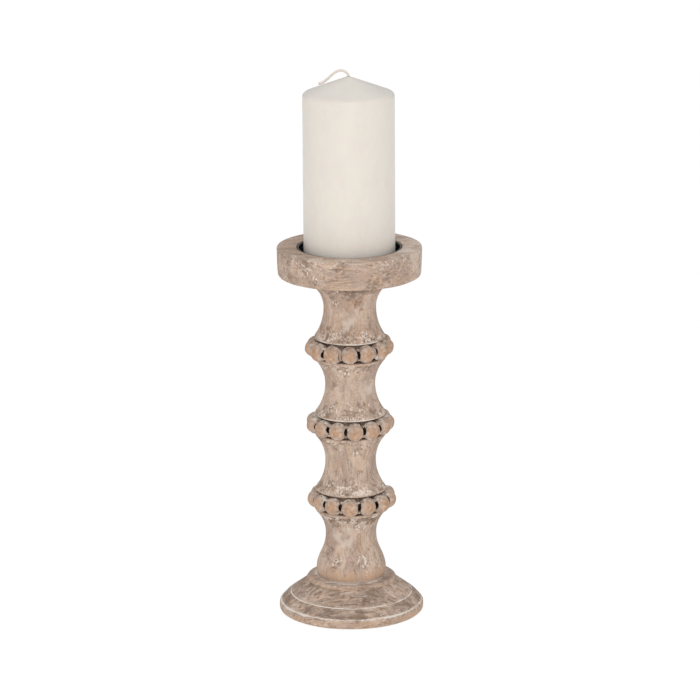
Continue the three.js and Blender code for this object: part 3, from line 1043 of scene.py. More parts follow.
@dataclass
class Base(Stacked):
    """The moulded round base: a rim, a sloping slab, a dome and a small round step, with two incised lines.

    Attributes:
        rim: The radius of the base, in millimetres.
        rim_height: The height of its upright edge.
        edge_rounding: The rounding under that edge.
        felt_recess: The radius of the recess for the felt.
        felt_recess_height: How deep that is.
        pocket: The radius of the pocket for the nut and washer.
        pocket_top: The height of its ceiling.
        rim_line: The radius and height where the line inside the rim starts.
        dome_line: The radius and height where the line at the foot of the dome starts.
        line_floor: How far in and up the floor of a line is from its start.
        line_width: How far in its other edge is.
        line_rises: How far up the other edge of the first line is, and that of the second.
        slab_pole: The radius and height that the slab's curve is pulled to.
        dome_pole: The radius and height that the dome's curve is pulled to.
        dome_top: The radius and height of the dome's top.
        step_rounding: The rounding of the step.
        step_flat: The radius of its flat top.
        step_paint: The radius where the paint on that top is thickest, at the foot of the spool.
        height: The height of the step.
    """

    rim: float = 60.9
    rim_height: float = 6.5
    edge_rounding: float = 2.5
    felt_recess: float = 54.8
    felt_recess_height: float = 1.3
    pocket: float = 11.0
    pocket_top: float = 10.3
    rim_line: Pair = (59.8, 8.0)
    dome_line: Pair = (51.8, 15.2)
    line_floor: Pair = (0.7, 0.1)
    line_width: float = 1.3
    line_rises: Pair = (1.0, 1.2)
    slab_pole: Pair = (55.6, 12.9)
    dome_pole: Pair = (41.15, 23.1)
    dome_top: Pair = (37.6, 26.3)
    step_rounding: float = 3.9
    step_flat: float = 34.1
    step_paint: float = 28.0
    height: float = 30.2

    def incised(self, line: Outline, start: Pair, rise: float) -> None:
        """Draws an incised line, full of paint.

        Args:
            line: The outline so far.
            start: The radius and height of the line's lower edge, in millimetres.
            rise: How far its upper edge is above that.
        """
        radius, height = start
        line.line(radius - self.line_floor[0], height + self.line_floor[1], paint=1.35)
        line.line(radius - self.line_width, height + rise, paint=(1.2, 0.2))

    def outline(self, foot: float) -> Outline:
        """Draws the base from the ceiling of its pocket.

        Args:
            foot: The height of the node's lowest point, in millimetres.

        Returns:
            The outline.
        """
        line = Outline()
        line.inside((self.column.bore, foot + self.pocket_top), (self.pocket, foot + self.pocket_top))
        recess_top = foot + self.felt_recess_height
        line.inside((self.pocket, recess_top), (self.felt_recess, recess_top), (self.felt_recess, foot))
        under = self.rim - self.edge_rounding
        line.line(under, foot)
        line.arc((under, foot + self.edge_rounding), self.edge_rounding, -90, 0, bare=0.6)
        line.line(self.rim, foot + self.rim_height, bare=(0.8, 0.6))
        places = (self.rim_line, self.slab_pole, self.dome_line, self.dome_pole, self.dome_top)
        rim_line, slab_pole, dome_line, dome_pole, dome_top = ((r, foot + z) for r, z in places)
        line.line(*rim_line, paint=(0.3, 1.2))
        self.incised(line, rim_line, self.line_rises[0])
        # The grey-brown here is partly glazing and partly painted shade: on the faces that look up, and in
        # the crease at the step.
        line.bend(slab_pole, dome_line, paint=(0.55, 0.0), flecks=(0.6, 0.0), glaze=(1.1, 0.7))
        self.incised(line, dome_line, self.line_rises[1])
        line.bend(dome_pole, dome_top, paint=(0.5, -0.2), flecks=0.3, glaze=(0.5, 0.9))
        centre = self.step_flat, dome_top[1]
        line.arc(centre, self.step_rounding, 0, 40, bare=0.8, glaze=(0.9, 0.4))
        line.arc(centre, self.step_rounding, 40, 90, paint=(0.0, 0.5))
        line.line(self.step_paint, foot + self.height, paint=(0.5, 1.2))
        self.spigot(line, foot + self.height)
        return line


@dataclass
class FootSpool(Stacked):
    """The lowest spool: a bulb that draws in to a waist, and a cove up to the shoulder.

    Attributes:
        bulb_foot: The radius of the bulb's foot, in millimetres.
        bulb: The radius of the bulb.
        bulb_height: The height where it is widest.
        bulb_pull: The heights that the curves below and above that are pulled to, and the one at the waist.
        waist: The radius of the waist.
        waist_height: The height of the waist.
        cove_height: How far the cove rises from there.
        joint_reach: How far its painted foot reaches down into the joint with the base.
        foot_flare: How far out and up that foot widens.
    """

    bulb_foot: float = 28.2
    bulb: float = 29.3
    bulb_height: float = 5.5
    bulb_pull: Triple = (2.4, 17.5, 22.3)
    waist: float = 21.35
    waist_height: float = 36.8
    cove_height: float = 20.1
    joint_reach: float = 0.25
    foot_flare: Pair = (0.2, 0.5)

    def outline(self, foot: float) -> Outline:
        """Draws the foot spool from its socket.

        Args:
            foot: The height of the node's lowest point, in millimetres.

        Returns:
            The outline.
        """
        c = self.column
        shoulder_foot = foot + self.waist_height + self.cove_height
        waist = (self.waist, foot + self.waist_height)
        below, above, near_waist = (foot + height for height in self.bulb_pull)
        line = self.spigot_socket(foot)
        line.line(self.bulb_foot, foot - self.joint_reach, paint=1.4)
        line.line(self.bulb_foot + self.foot_flare[0], foot + self.foot_flare[1], paint=1.4)
        line.bend((self.bulb, below), (self.bulb, foot + self.bulb_height), bare=(0.7, 1.0))
        line.bend((self.bulb, above), (self.waist, near_waist), waist, flecks=(0.5, 0.0), bare=(1.0, -2.2))
        # Grey-brown rises towards the shoulder: glazing, and painted shade under the shoulder and the lower
        # ring.
        line.half_cove((c.lip, shoulder_foot), waist, flecks=(-0.6, 1.8), glaze=(-0.9, 1.5))
        self.neck(line, shoulder_foot + c.shoulder_height)
        return line


@dataclass
class CoveSpool(Stacked):
    """A coved spool between two bead rings.

    Attributes:
        waist: The radius of its waist, in millimetres.
        lip_paint: How much paint is on its lip.
        height: Its height from the lip to the top of the shoulder.
        waist_share: How far up the cove its waist is.
    """

    waist: float = 21.2
    lip_paint: float = 1.4
    height: float = 50.0
    waist_share: float = 0.529

    def outline(self, foot: float) -> Outline:
        """Draws the spool from its socket.

        Args:
            foot: The height of the node's lowest point, in millimetres.

        Returns:
            The outline.
        """
        c = self.column
        cove_foot = foot + c.lip_thickness
        cove_top = foot + self.height - c.shoulder_height
        waist = (self.waist, cove_foot + self.waist_share * (cove_top - cove_foot))
        line = self.lipped_socket(foot, self.lip_paint)
        # Grey-brown darkens the cove next to the lip and under the shoulder: glazing, and painted shade in
        # those corners.
        line.half_cove((c.lip, cove_foot), waist, flecks=(1.5, -0.5), glaze=(0.8, -0.6))
        line.half_cove((c.lip, cove_top), waist, flecks=(-1.0, 1.3), glaze=(-0.9, 0.9))
        self.neck(line, foot + self.height)
        return line


@dataclass
class UpperSpool(Stacked):
    """The top spool, whose collar carries the plate.

    Attributes:
        waist: The radius of its waist, in millimetres.
        lip_paint: How much paint is on its lip.
        cove_height: The height of the cove.
        waist_share: How far up the cove its waist is.
        collar: The radius of the collar.
        height: The height of the collar's top.
    """

    waist: float = 21.9
    lip_paint: float = 1.5
    cove_height: float = 43.0
    waist_share: float = 0.572
    collar: float = 30.0
    height: float = 53.4

    def outline(self, foot: float) -> Outline:
        """Draws the spool from its socket.

        Args:
            foot: The height of the node's lowest point, in millimetres.

        Returns:
            The outline.
        """
        c = self.column
        cove_foot = foot + c.lip_thickness
        cove_top = cove_foot + self.cove_height
        waist = (self.waist, cove_foot + self.waist_share * self.cove_height)
        line = self.lipped_socket(foot, self.lip_paint)
        # Grey-brown darkens the cove next to the lip, and the top of the cove and the collar: glazing,
        # painted shade in that corner and painted shadow under the plate.
        line.half_cove((c.lip, cove_foot), waist, flecks=(1.3, -0.3), glaze=(0.7, -0.9))
        line.half_cove((self.collar, cove_top), waist, flecks=(-0.4, 0.9), glaze=(-1.4, 0.9))
        line.line(self.collar, foot + self.height, flecks=(0.9, 1.0), glaze=1.0)
        self.spigot(line, foot + self.height)
        return line


@dataclass
class Plate(Stacked):
    """The thick round plate, with a recess for the cup.

    Attributes:
        radius: Its radius at the top, in millimetres.
        taper: How much narrower it is at its foot.
        height: Its thickness.
        top_rounding: The rounding of its upper edge.
        foot_rounding: The rounding of its lower edge.
        recess: The radius of the recess.
        recess_depth: The depth of the recess.
        seen_depth: How much of the recess's wall shows above the cup.
        pocket: The radius of the pocket for the nut and washer.
        pocket_depth: Its depth below the recess.
    """

    radius: float = 60.5
    taper: float = 0.8
    height: float = 24.3
    top_rounding: float = 1.2
    foot_rounding: float = 2.5
    recess: float = 43.9
    recess_depth: float = 10.5
    seen_depth: float = 2.5
    pocket: float = 11.0
    pocket_depth: float = 5.7

    def outline(self, foot: float) -> Outline:
        """Draws the plate from its socket.

        Args:
            foot: The height of the node's lowest point, in millimetres.

        Returns:
            The outline.
        """
        top = foot + self.height
        floor = top - self.recess_depth
        under = self.radius - self.taper - self.foot_rounding
        line = self.spigot_socket(foot)
        line.line(under, foot)
        line.arc((under, foot + self.foot_rounding), self.foot_rounding, -90, 0, bare=0.4)
        line.line(self.radius, top - self.top_rounding, flecks=(-0.4, 0.9), bare=0.3)
        line.arc((self.radius - self.top_rounding, top - self.top_rounding), self.top_rounding, 0, 90)
        line.line(self.recess, top, paint=(0.75, 0.65))
        line.line(self.recess, top - self.seen_depth)
        line.inside((self.recess, floor), (self.pocket, floor), (self.pocket, floor - self.pocket_depth))
        line.inside((self.column.bore, floor - self.pocket_depth))
        return line


# ---------- The cup, the candle and the felt ----------


@dataclass
class Cup(Turning):
    """The pressed steel cup, with a flat floor and an edge that is rolled inwards.

    Attributes:
        radius: Its outer radius, in millimetres.
        height: Its height.
        wall: The thickness of the steel.
        corner: The rounding under its wall.
        roll: The radius of its rolled edge.
        roll_end: The angle where that ends, in degrees.
        roll_gap: How far below the roll the inner wall starts.
        rib_inset: How far in from the corner the rib pressed in the floor starts.
        rib_width: The width of the rib.
        rib_slope: The width of each of its flanks.
        rib_height: Its height.
    """

    radius: float = 43.6
    height: float = 9.9
    wall: float = 0.8
    corner: float = 2.5
    roll: float = 0.85
    roll_end: float = 255.0
    roll_gap: float = 0.5
    rib_inset: float = 6.0
    rib_width: float = 2.2
    rib_slope: float = 0.6
    rib_height: float = 0.35

    def outline(self, foot: float) -> Outline:
        """Draws the cup from the middle of its underside.

        Args:
            foot: The height of the node's lowest point, in millimetres.

        Returns:
            The outline.
        """
        rim = foot + self.height - self.roll
        floor_corner, inner = self.radius - self.corner, self.radius - self.wall
        rib_out = floor_corner - self.rib_inset
        rib_in = rib_out - self.rib_width
        floor = foot + self.wall
        line = Outline()
        line.inside((0, foot), (floor_corner / 2, foot), (floor_corner, foot))
        line.arc((floor_corner, foot + self.corner), self.corner, -90, 0)
        line.line(self.radius, rim)
        line.arc((self.radius - self.roll, rim), self.roll, 0, self.roll_end)
        line.line(inner, rim - self.roll - self.roll_gap)
        line.line(inner, foot + self.corner)
        line.arc((floor_corner, foot + self.corner), self.corner - self.wall, 0, -90)
        line.line(rib_out, floor)
        line.line(rib_out - self.rib_slope, floor + self.rib_height)
        line.line(rib_in + self.rib_slope, floor + self.rib_height)
        line.line(rib_in, floor)
        line.inside((floor_corner / 2, floor), (0, floor))
        return line

    def material(self) -> bpy.types.Material:
        """Makes the enamel."""
        return stoved_enamel()


@dataclass
class Candle(Turning):
    """The pillar candle: a shallow cone on a straight wall, with a bore for the wick.

    Attributes:
        bore: The radius of its bore, in millimetres.
        bore_depth: How far down the mouth of the bore shows.
        radius: Its radius.
        height: The height that the cone would reach on the axis.
        foot_rounding: The rounding of its foot.
        slope: How far the cone rises for each millimetre inwards.
        shoulder: The rounding between the wall and the cone.
    """

    bore: float = 1.4
    bore_depth: float = 6.0
    radius: float = 38.1
    height: float = 152.4
    foot_rounding: float = 1.5
    slope: float = 0.383
    shoulder: float = 3.6

    def outline(self, foot: float) -> Outline:
        """Draws the candle from its bore.

        Args:
            foot: The height of the node's lowest point, in millimetres.

        Returns:
            The outline.
        """
        angle = math.atan(self.slope)
        cone = self.radius - self.shoulder * (1 - math.sin(angle))
        wall_top = foot + self.height - self.slope * cone - self.shoulder * math.cos(angle)
        under = self.radius - self.foot_rounding
        line = Outline(step=0.7 * MM)
        line.inside((self.bore, foot))
        line.line(under, foot)
        line.arc((under, foot + self.foot_rounding), self.foot_rounding, -90, 0)
        line.line(self.radius, wall_top)
        line.arc((self.radius - self.shoulder, wall_top), self.shoulder, 0, 90 - math.degrees(angle))
        line.line(self.bore, foot + self.height - self.slope * self.bore)
        line.inside((self.bore, foot + self.height - self.bore_depth))
        return line

    def material(self) -> bpy.types.Material:
        """Makes the wax."""
        return poured_wax()


@dataclass
class Felt(Turning):
    """The felt disc under the base.

    Attributes:
        radius: Its radius, in millimetres.
        thickness: Its thickness.
        lower_bevel: The width of the bevel round its underside.
        upper_bevel: The width of the one round its top.
    """

    radius: float = 54.5
    thickness: float = 1.5
    lower_bevel: float = 0.4
    upper_bevel: float = 0.3

    def outline(self, foot: float) -> Outline:
        """Draws the felt from the middle of its underside.

        Args:
            foot: The height of the node's lowest point, in millimetres.

        Returns:
            The outline.
        """
        top = foot + self.thickness
        line = Outline(step=1.2 * MM)
        line.inside((0, foot))
        line.line(self.radius - self.lower_bevel, foot)
        line.line(self.radius, foot + self.lower_bevel)
        line.line(self.radius, top - self.upper_bevel)
        line.line(self.radius - self.upper_bevel, top)
        line.line(0, top)
        return line

    def material(self) -> bpy.types.Material:
        """Makes the felt's cloth."""
        return wool_felt()


# ---------- Bead rings ----------

LUMP_SIZE = 6.0  # millimetres between the lumps on a bead
OUTWARD_MARKS = {  # how far out each mark starts and where it is full, as shares of the bead's radius
    Mark.BARE: (0.4, 1.0),
    # the sides of a bead darken, as dirt and as painted shade
    Mark.GLAZE: (0.7, 0.1),
    Mark.PAINT: (0.8, 0.2),
}


class RingTree:
    """The tree that strings a bead into a ring, each with a turn, a size and lumps of its own.

    Paint fills some of the joints between the beads, and bridges the others above and below the wire.
    """

    def __init__(self) -> None:
        """Builds the tree."""
        sockets = {"Count": "Int", "Ring Radius": "Float", "Bead Radius": "Float", "Smallest": "Float",
                   "Largest": "Float", "Jitter": "Float", "Lean": "Float", "Lumps": "Float",
                   "Filled": "Float", "Web Size": "Vector", "Bridge Size": "Vector",
                   "Bridge Height": "Float", "Seed": "Int", "Turn": "Float", "Tilt": "Float",
                   "Place": "Vector", "Material": "Material"}
        self.tree, group = geometry_tree("Bead ring", sockets)
        self.given = group.outputs
        tree = self.tree
        self.index = add_node(tree, "GeometryNodeInputIndex").outputs[0]
        step = {0: 2 * math.pi, 1: self.given["Count"]}
        self.step = add_node(tree, "ShaderNodeMath", step, operation="DIVIDE").outputs[0]
        bearing = {0: self.index, 1: self.step, 2: math.pi / 2}
        self.bearing = add_node(tree, "ShaderNodeMath", bearing, operation="MULTIPLY_ADD").outputs[0]
        circle = {"Vertices": self.given["Count"], "Radius": self.given["Ring Radius"]}
        self.circle = add_node(tree, "GeometryNodeMeshCircle", circle).outputs[0]
        ring = add_node(tree, "GeometryNodeJoinGeometry")
        for part in (self.beads(), *self.paint()):
            tree.links.new(part, ring.inputs[0])
        ring = add_node(tree, "GeometryNodeRealizeInstances", {"Geometry": ring.outputs[0]}).outputs[0]
        ring = self.placed(self.lumpy(self.marked(ring)))
        smooth = add_node(tree, "GeometryNodeSetShadeSmooth", {"Geometry": ring, "Shade Smooth": True})
        close_tree(tree, smooth.outputs[0], self.given["Material"])

    def beads(self) -> Socket:
        """Sets a bead on each point of the circle, a little off it.

        Returns:
            The beads, as instances.
        """
        tree, given = self.tree, self.given
        own = {7: self.index, 8: given["Seed"]}
        least = add_node(tree, "ShaderNodeMath", {0: given["Jitter"], 1: -1.0}, operation="MULTIPLY")
        lowest = {axis: least.outputs[0] for axis in "XYZ"}
        lowest = add_node(tree, "ShaderNodeCombineXYZ", lowest).outputs[0]
        highest = {axis: given["Jitter"] for axis in "XYZ"}
        highest = add_node(tree, "ShaderNodeCombineXYZ", highest).outputs[0]
        stray = {0: lowest, 1: highest, **own}
        stray = add_node(tree, "FunctionNodeRandomValue", stray, data_type="FLOAT_VECTOR").outputs[0]
        points = {"Geometry": self.circle, "Offset": stray}
        points = add_node(tree, "GeometryNodeSetPosition", points).outputs[0]
        spin = add_node(tree, "FunctionNodeRandomValue", {3: 2 * math.pi, **own}).outputs[1]
        least = add_node(tree, "ShaderNodeMath", {0: given["Lean"], 1: -1.0}, operation="MULTIPLY")
        lean = {2: least.outputs[0], 3: given["Lean"], **own}
        lean = add_node(tree, "FunctionNodeRandomValue", lean).outputs[1]
        angles = add_node(tree, "ShaderNodeCombineXYZ", {"X": spin, "Y": lean, "Z": self.bearing}).outputs[0]
        rotation = add_node(tree, "FunctionNodeEulerToRotation", {0: angles}).outputs[0]
        size = {2: given["Smallest"], 3: given["Largest"], **own}
        size = add_node(tree, "FunctionNodeRandomValue", size).outputs[1]
        lying = {"Geometry": given["Geometry"], "Rotation": (0, math.pi / 2, 0)}
        bead = add_node(tree, "GeometryNodeTransform", lying).outputs[0]
        strung = {"Points": points, "Instance": bead, "Rotation": rotation, "Scale": size}
        return add_node(tree, "GeometryNodeInstanceOnPoints", strung).outputs[0]

    def paint(self) -> tuple[Socket, Socket]:
        """Fills or bridges the joints between the beads.

        Returns:
            The paint that fills joints and the paint that bridges the others, as instances.
        """
        tree, given = self.tree, self.given
        half = add_node(tree, "ShaderNodeMath", {0: self.step, 1: 0.5}, operation="MULTIPLY").outputs[0]
        nearer = add_node(tree, "ShaderNodeMath", {0: half}, operation="COSINE").outputs[0]
        halfway = add_node(tree, "ShaderNodeCombineXYZ", {"Z": half}).outputs[0]
        joints = {"Geometry": self.circle, "Rotation": halfway, "Scale": nearer}
        joints = add_node(tree, "GeometryNodeTransform", joints).outputs[0]
        bearing = add_node(tree, "ShaderNodeMath", {0: self.bearing, 1: half}, operation="ADD").outputs[0]
        angles = add_node(tree, "ShaderNodeCombineXYZ", {"Z": bearing}).outputs[0]
        rotation = add_node(tree, "FunctionNodeEulerToRotation", {0: angles}).outputs[0]
        filled = {6: given["Filled"], 7: self.index, 8: given["Seed"]}
        filled = add_node(tree, "FunctionNodeRandomValue", filled, data_type="BOOLEAN").outputs[3]
        bridged = add_node(tree, "FunctionNodeBooleanMath", {0: filled}, operation="NOT").outputs[0]
        ball = {"Segments": 28, "Rings": 18, "Radius": 1.0}
        ball = add_node(tree, "GeometryNodeMeshUVSphere", ball).outputs[0]
        web = {"Geometry": ball, "Scale": given["Web Size"]}
        web = add_node(tree, "GeometryNodeTransform", web).outputs[0]
        bridge = add_node(tree, "GeometryNodeJoinGeometry")
        for side in (-1.0, 1.0):
            height = {0: given["Bridge Height"], 1: side}
            height = add_node(tree, "ShaderNodeMath", height, operation="MULTIPLY").outputs[0]
            above = add_node(tree, "ShaderNodeCombineXYZ", {"Z": height}).outputs[0]
            blob = {"Geometry": ball, "Scale": given["Bridge Size"], "Translation": above}
            tree.links.new(add_node(tree, "GeometryNodeTransform", blob).outputs[0], bridge.inputs[0])
        parts = ((web, filled), (bridge.outputs[0], bridged))
        laid = ({"Points": joints, "Instance": part, "Rotation": rotation, "Selection": where}
                for part, where in parts)
        return tuple(add_node(tree, "GeometryNodeInstanceOnPoints", inputs).outputs[0] for inputs in laid)

    def marked(self, ring: Socket) -> Socket:
        """Marks each point of the ring by how far out from the wire it is.

        Args:
            ring: The ring.

        Returns:
            The ring with its marks.
        """
        tree = self.tree
        place = add_node(tree, "GeometryNodeInputPosition").outputs[0]
        level = {0: place, 1: (1, 1, 0)}
        level = add_node(tree, "ShaderNodeVectorMath", level, operation="MULTIPLY").outputs[0]
        reach = add_node(tree, "ShaderNodeVectorMath", {0: level}, operation="LENGTH").outputs["Value"]
        outward = {0: reach, 1: self.given["Ring Radius"]}
        outward = add_node(tree, "ShaderNodeMath", outward, operation="SUBTRACT").outputs[0]
        outward = {0: outward, 1: self.given["Bead Radius"]}
        outward = add_node(tree, "ShaderNodeMath", outward, operation="DIVIDE").outputs[0]
        for mark, (start, end) in OUTWARD_MARKS.items():
            value = {"Value": outward, "From Min": start, "From Max": end}
            value = add_node(tree, "ShaderNodeMapRange", value).outputs[0]
            stored = {"Geometry": ring, "Name": mark.value, "Value": value}
            ring = add_node(
                tree, "GeometryNodeStoreNamedAttribute", stored, data_type="FLOAT", domain="POINT"
            ).outputs[0]
        return ring

    def lumpy(self, ring: Socket) -> Socket:
        """Makes the beads and the paint a little lumpy.

        Args:
            ring: The ring.

        Returns:
            The lumpy ring.
        """
        tree = self.tree
        place = add_node(tree, "GeometryNodeInputPosition").outputs[0]
        normal = add_node(tree, "GeometryNodeInputNormal").outputs[0]
        lumps = {"Vector": place, "Scale": 1 / (LUMP_SIZE * MM), "Detail": 2.0}
        lumps = add_node(tree, "ShaderNodeTexNoise", lumps).outputs[0]
        lumps = add_node(tree, "ShaderNodeMath", {0: lumps, 1: 0.5}, operation="SUBTRACT").outputs[0]
        height = {0: lumps, 1: self.given["Lumps"]}
        height = add_node(tree, "ShaderNodeMath", height, operation="MULTIPLY").outputs[0]
        offset = {0: normal, "Scale": height}
        offset = add_node(tree, "ShaderNodeVectorMath", offset, operation="SCALE").outputs[0]
        return add_node(tree, "GeometryNodeSetPosition", {"Geometry": ring, "Offset": offset}).outputs[0]

    def placed(self, ring: Socket) -> Socket:
        """Turns the ring, tilts it and lifts it to its place.

        Args:
            ring: The ring, round the origin.

        Returns:
            The ring in its groove.
        """
        tree, given = self.tree, self.given
        turned = add_node(tree, "ShaderNodeCombineXYZ", {"Z": given["Turn"]}).outputs[0]
        ring = add_node(tree, "GeometryNodeTransform", {"Geometry": ring, "Rotation": turned}).outputs[0]
        tilted = add_node(tree, "ShaderNodeCombineXYZ", {"Y": given["Tilt"]}).outputs[0]
        hung = {"Geometry": ring, "Rotation": tilted, "Translation": given["Place"]}
        return add_node(tree, "GeometryNodeTransform", hung).outputs[0]


@dataclass
class BeadRing:
    """A ring of beads in one of the grooves, on a loop of wire.

    Attributes:
        name: The ring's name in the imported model.
        turn: How far round the ring is turned, in degrees.
        seed: Where its random values come from.
        filled: The share of its joints that paint fills.
        tilt: How far it leans to one side, in degrees.
        shift: How far it hangs to one side, in millimetres.
        count: How many beads it has.
        pitch: The length of wire from one bead to the next.
        length: The length of a bead along its hole.
        diameter: The diameter of a bead.
        end_radius: The radius of a bead's flat ends.
        hole: The radius of the mouth of its hole.
        hole_bevel: The width of the bevel round that mouth.
        hole_depth: How far into the hole a bead is drawn.
        wire: The diameter of the wire.
        smallest: The size of the smallest bead, as a share of the drawn one.
        largest: The size of the largest.
        jitter: How far a bead may stray from the circle, in millimetres.
        lean: How far a bead may lean on the wire, in radians.
        lumps: How high the lumps of the beads and the paint are, from the lowest to the highest.
        web: Half the size of the paint that fills a joint: along the wire, outwards and up.
        bridge: Half the size of the paint that bridges a joint.
        bridge_height: How far above or below the wire that paint lies.
    """

    name: str
    turn: float
    seed: int
    filled: float
    tilt: float = 0.0
    shift: float = 0.0
    count: int = 13
    pitch: float = 14.3
    length: float = 13.1
    diameter: float = 14.8
    end_radius: float = 3.5
    hole: float = 2.3
    hole_bevel: float = 0.4
    hole_depth: float = 1.2
    wire: float = 1.2
    smallest: float = 0.98
    largest: float = 1.05
    jitter: float = 0.3
    lean: float = 0.12
    lumps: float = 1.6
    web: Triple = (1.5, 4.9, 4.6)
    bridge: Triple = (1.4, 3.2, 1.3)
    bridge_height: float = 4.0

    @property
    def radius(self) -> float:
        """The radius of the circle that the beads are strung on."""
        return self.pitch / (2 * math.sin(math.pi / self.count))

    def bead(self) -> bpy.types.Mesh:
        """Draws one bead's outline round its hole: a ball with flat ends.

        Returns:
            The outline, for the turning tree.
        """
        ball, half = self.diameter / 2, self.length / 2
        widest = math.acos(self.end_radius / ball)
        rise = half / math.sin(widest)

        def side(share: float) -> Pair:
            """A point on the side of the bead."""
            angle = (2 * share - 1) * widest
            return ball * math.cos(angle), rise * math.sin(angle)

        mouth = self.hole + self.hole_bevel
        line = Outline(step=0.55 * MM)
        # Shade is painted into the hole and over the flat ends, which face the dark joints between beads.
        line.inside((self.hole, -half + self.hole_depth), stain=1.0)
        line.line(mouth, -half, stain=1.0)
        line.line(self.end_radius, -half, stain=(1.0, 0.7))
        line.follow(side, 2 * ball * widest)
        line.line(mouth, half, stain=(0.7, 1.0))
        line.line(self.hole, half - self.hole_depth, stain=1.0)
        return line.worn(2).mesh("bead")

    def string(self, turning: Tree, stringing: Tree, height: float) -> None:
        """Strings the beads, in place of their nodes.

        Args:
            turning: The turning tree.
            stringing: The ring's tree.
            height: The height of the wire, in metres.
        """
        finish = painted_beech(f"painted_beech_{self.name}", 7.7 * self.seed)
        lathe = {"Sides": 40, "Waver": 0.0, "Dents": 0.0, "Dent Size": 3 * MM, "Seed": 0.0,
                 "Material": finish}
        string = {"Count": self.count, "Ring Radius": self.radius * MM, "Bead Radius": self.diameter / 2 * MM,
                  "Smallest": self.smallest, "Largest": self.largest, "Jitter": self.jitter * MM,
                  "Lean": self.lean, "Lumps": self.lumps * MM, "Filled": self.filled,
                  "Web Size": tuple(size * MM for size in self.web),
                  "Bridge Size": tuple(size * MM for size in self.bridge),
                  "Bridge Height": self.bridge_height * MM, "Seed": self.seed,
                  "Turn": math.radians(self.turn - 90), "Tilt": math.radians(self.tilt),
                  "Place": (self.shift * MM, 0.0, height), "Material": finish}
        beads = run_trees(f"{self.name}_bead_ring", self.bead(), [(turning, lathe), (stringing, string)])
        nodes = [f"{self.name}_bead_{number:02d}" for number in range(1, self.count + 1)]
        finished(beads, HOLDER, "bead_wood", *nodes)

    def bend_wire(self, turning: Tree, height: float) -> None:
        """Bends the wire into a closed loop, in place of its node.

        Args:
            turning: The turning tree.
            height: The height of the wire, in metres.
        """
        loop = Outline(step=0.3 * MM)  # its last step is closed by its mesh
        loop.inside((self.radius + self.wire / 2, height / MM))
        loop.arc((self.radius, height / MM), self.wire / 2, 0, 340)
        bent = {"Sides": 160, "Waver": 0.4 * MM, "Dents": 0.0, "Dent Size": 3 * MM, "Seed": float(self.seed),
                "Material": annealed_wire()}
        wire = run_trees(f"{self.name}_ring_wire", loop.mesh("loop"), [(turning, bent)])
        finished(wire, HOLDER, "iron_wire", f"{self.name}_bead_wire")

    def build(self, turning: Tree, stringing: Tree) -> None:
        """Makes the beads and the wire.

        Args:
            turning: The turning tree.
            stringing: The ring's tree.
        """
        low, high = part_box(f"{self.name}_bead_wire")
        height = (low.z + high.z) / 2
        self.string(turning, stringing, height)
        self.bend_wire(turning, height)


# ---------- Wick and fasteners ----------


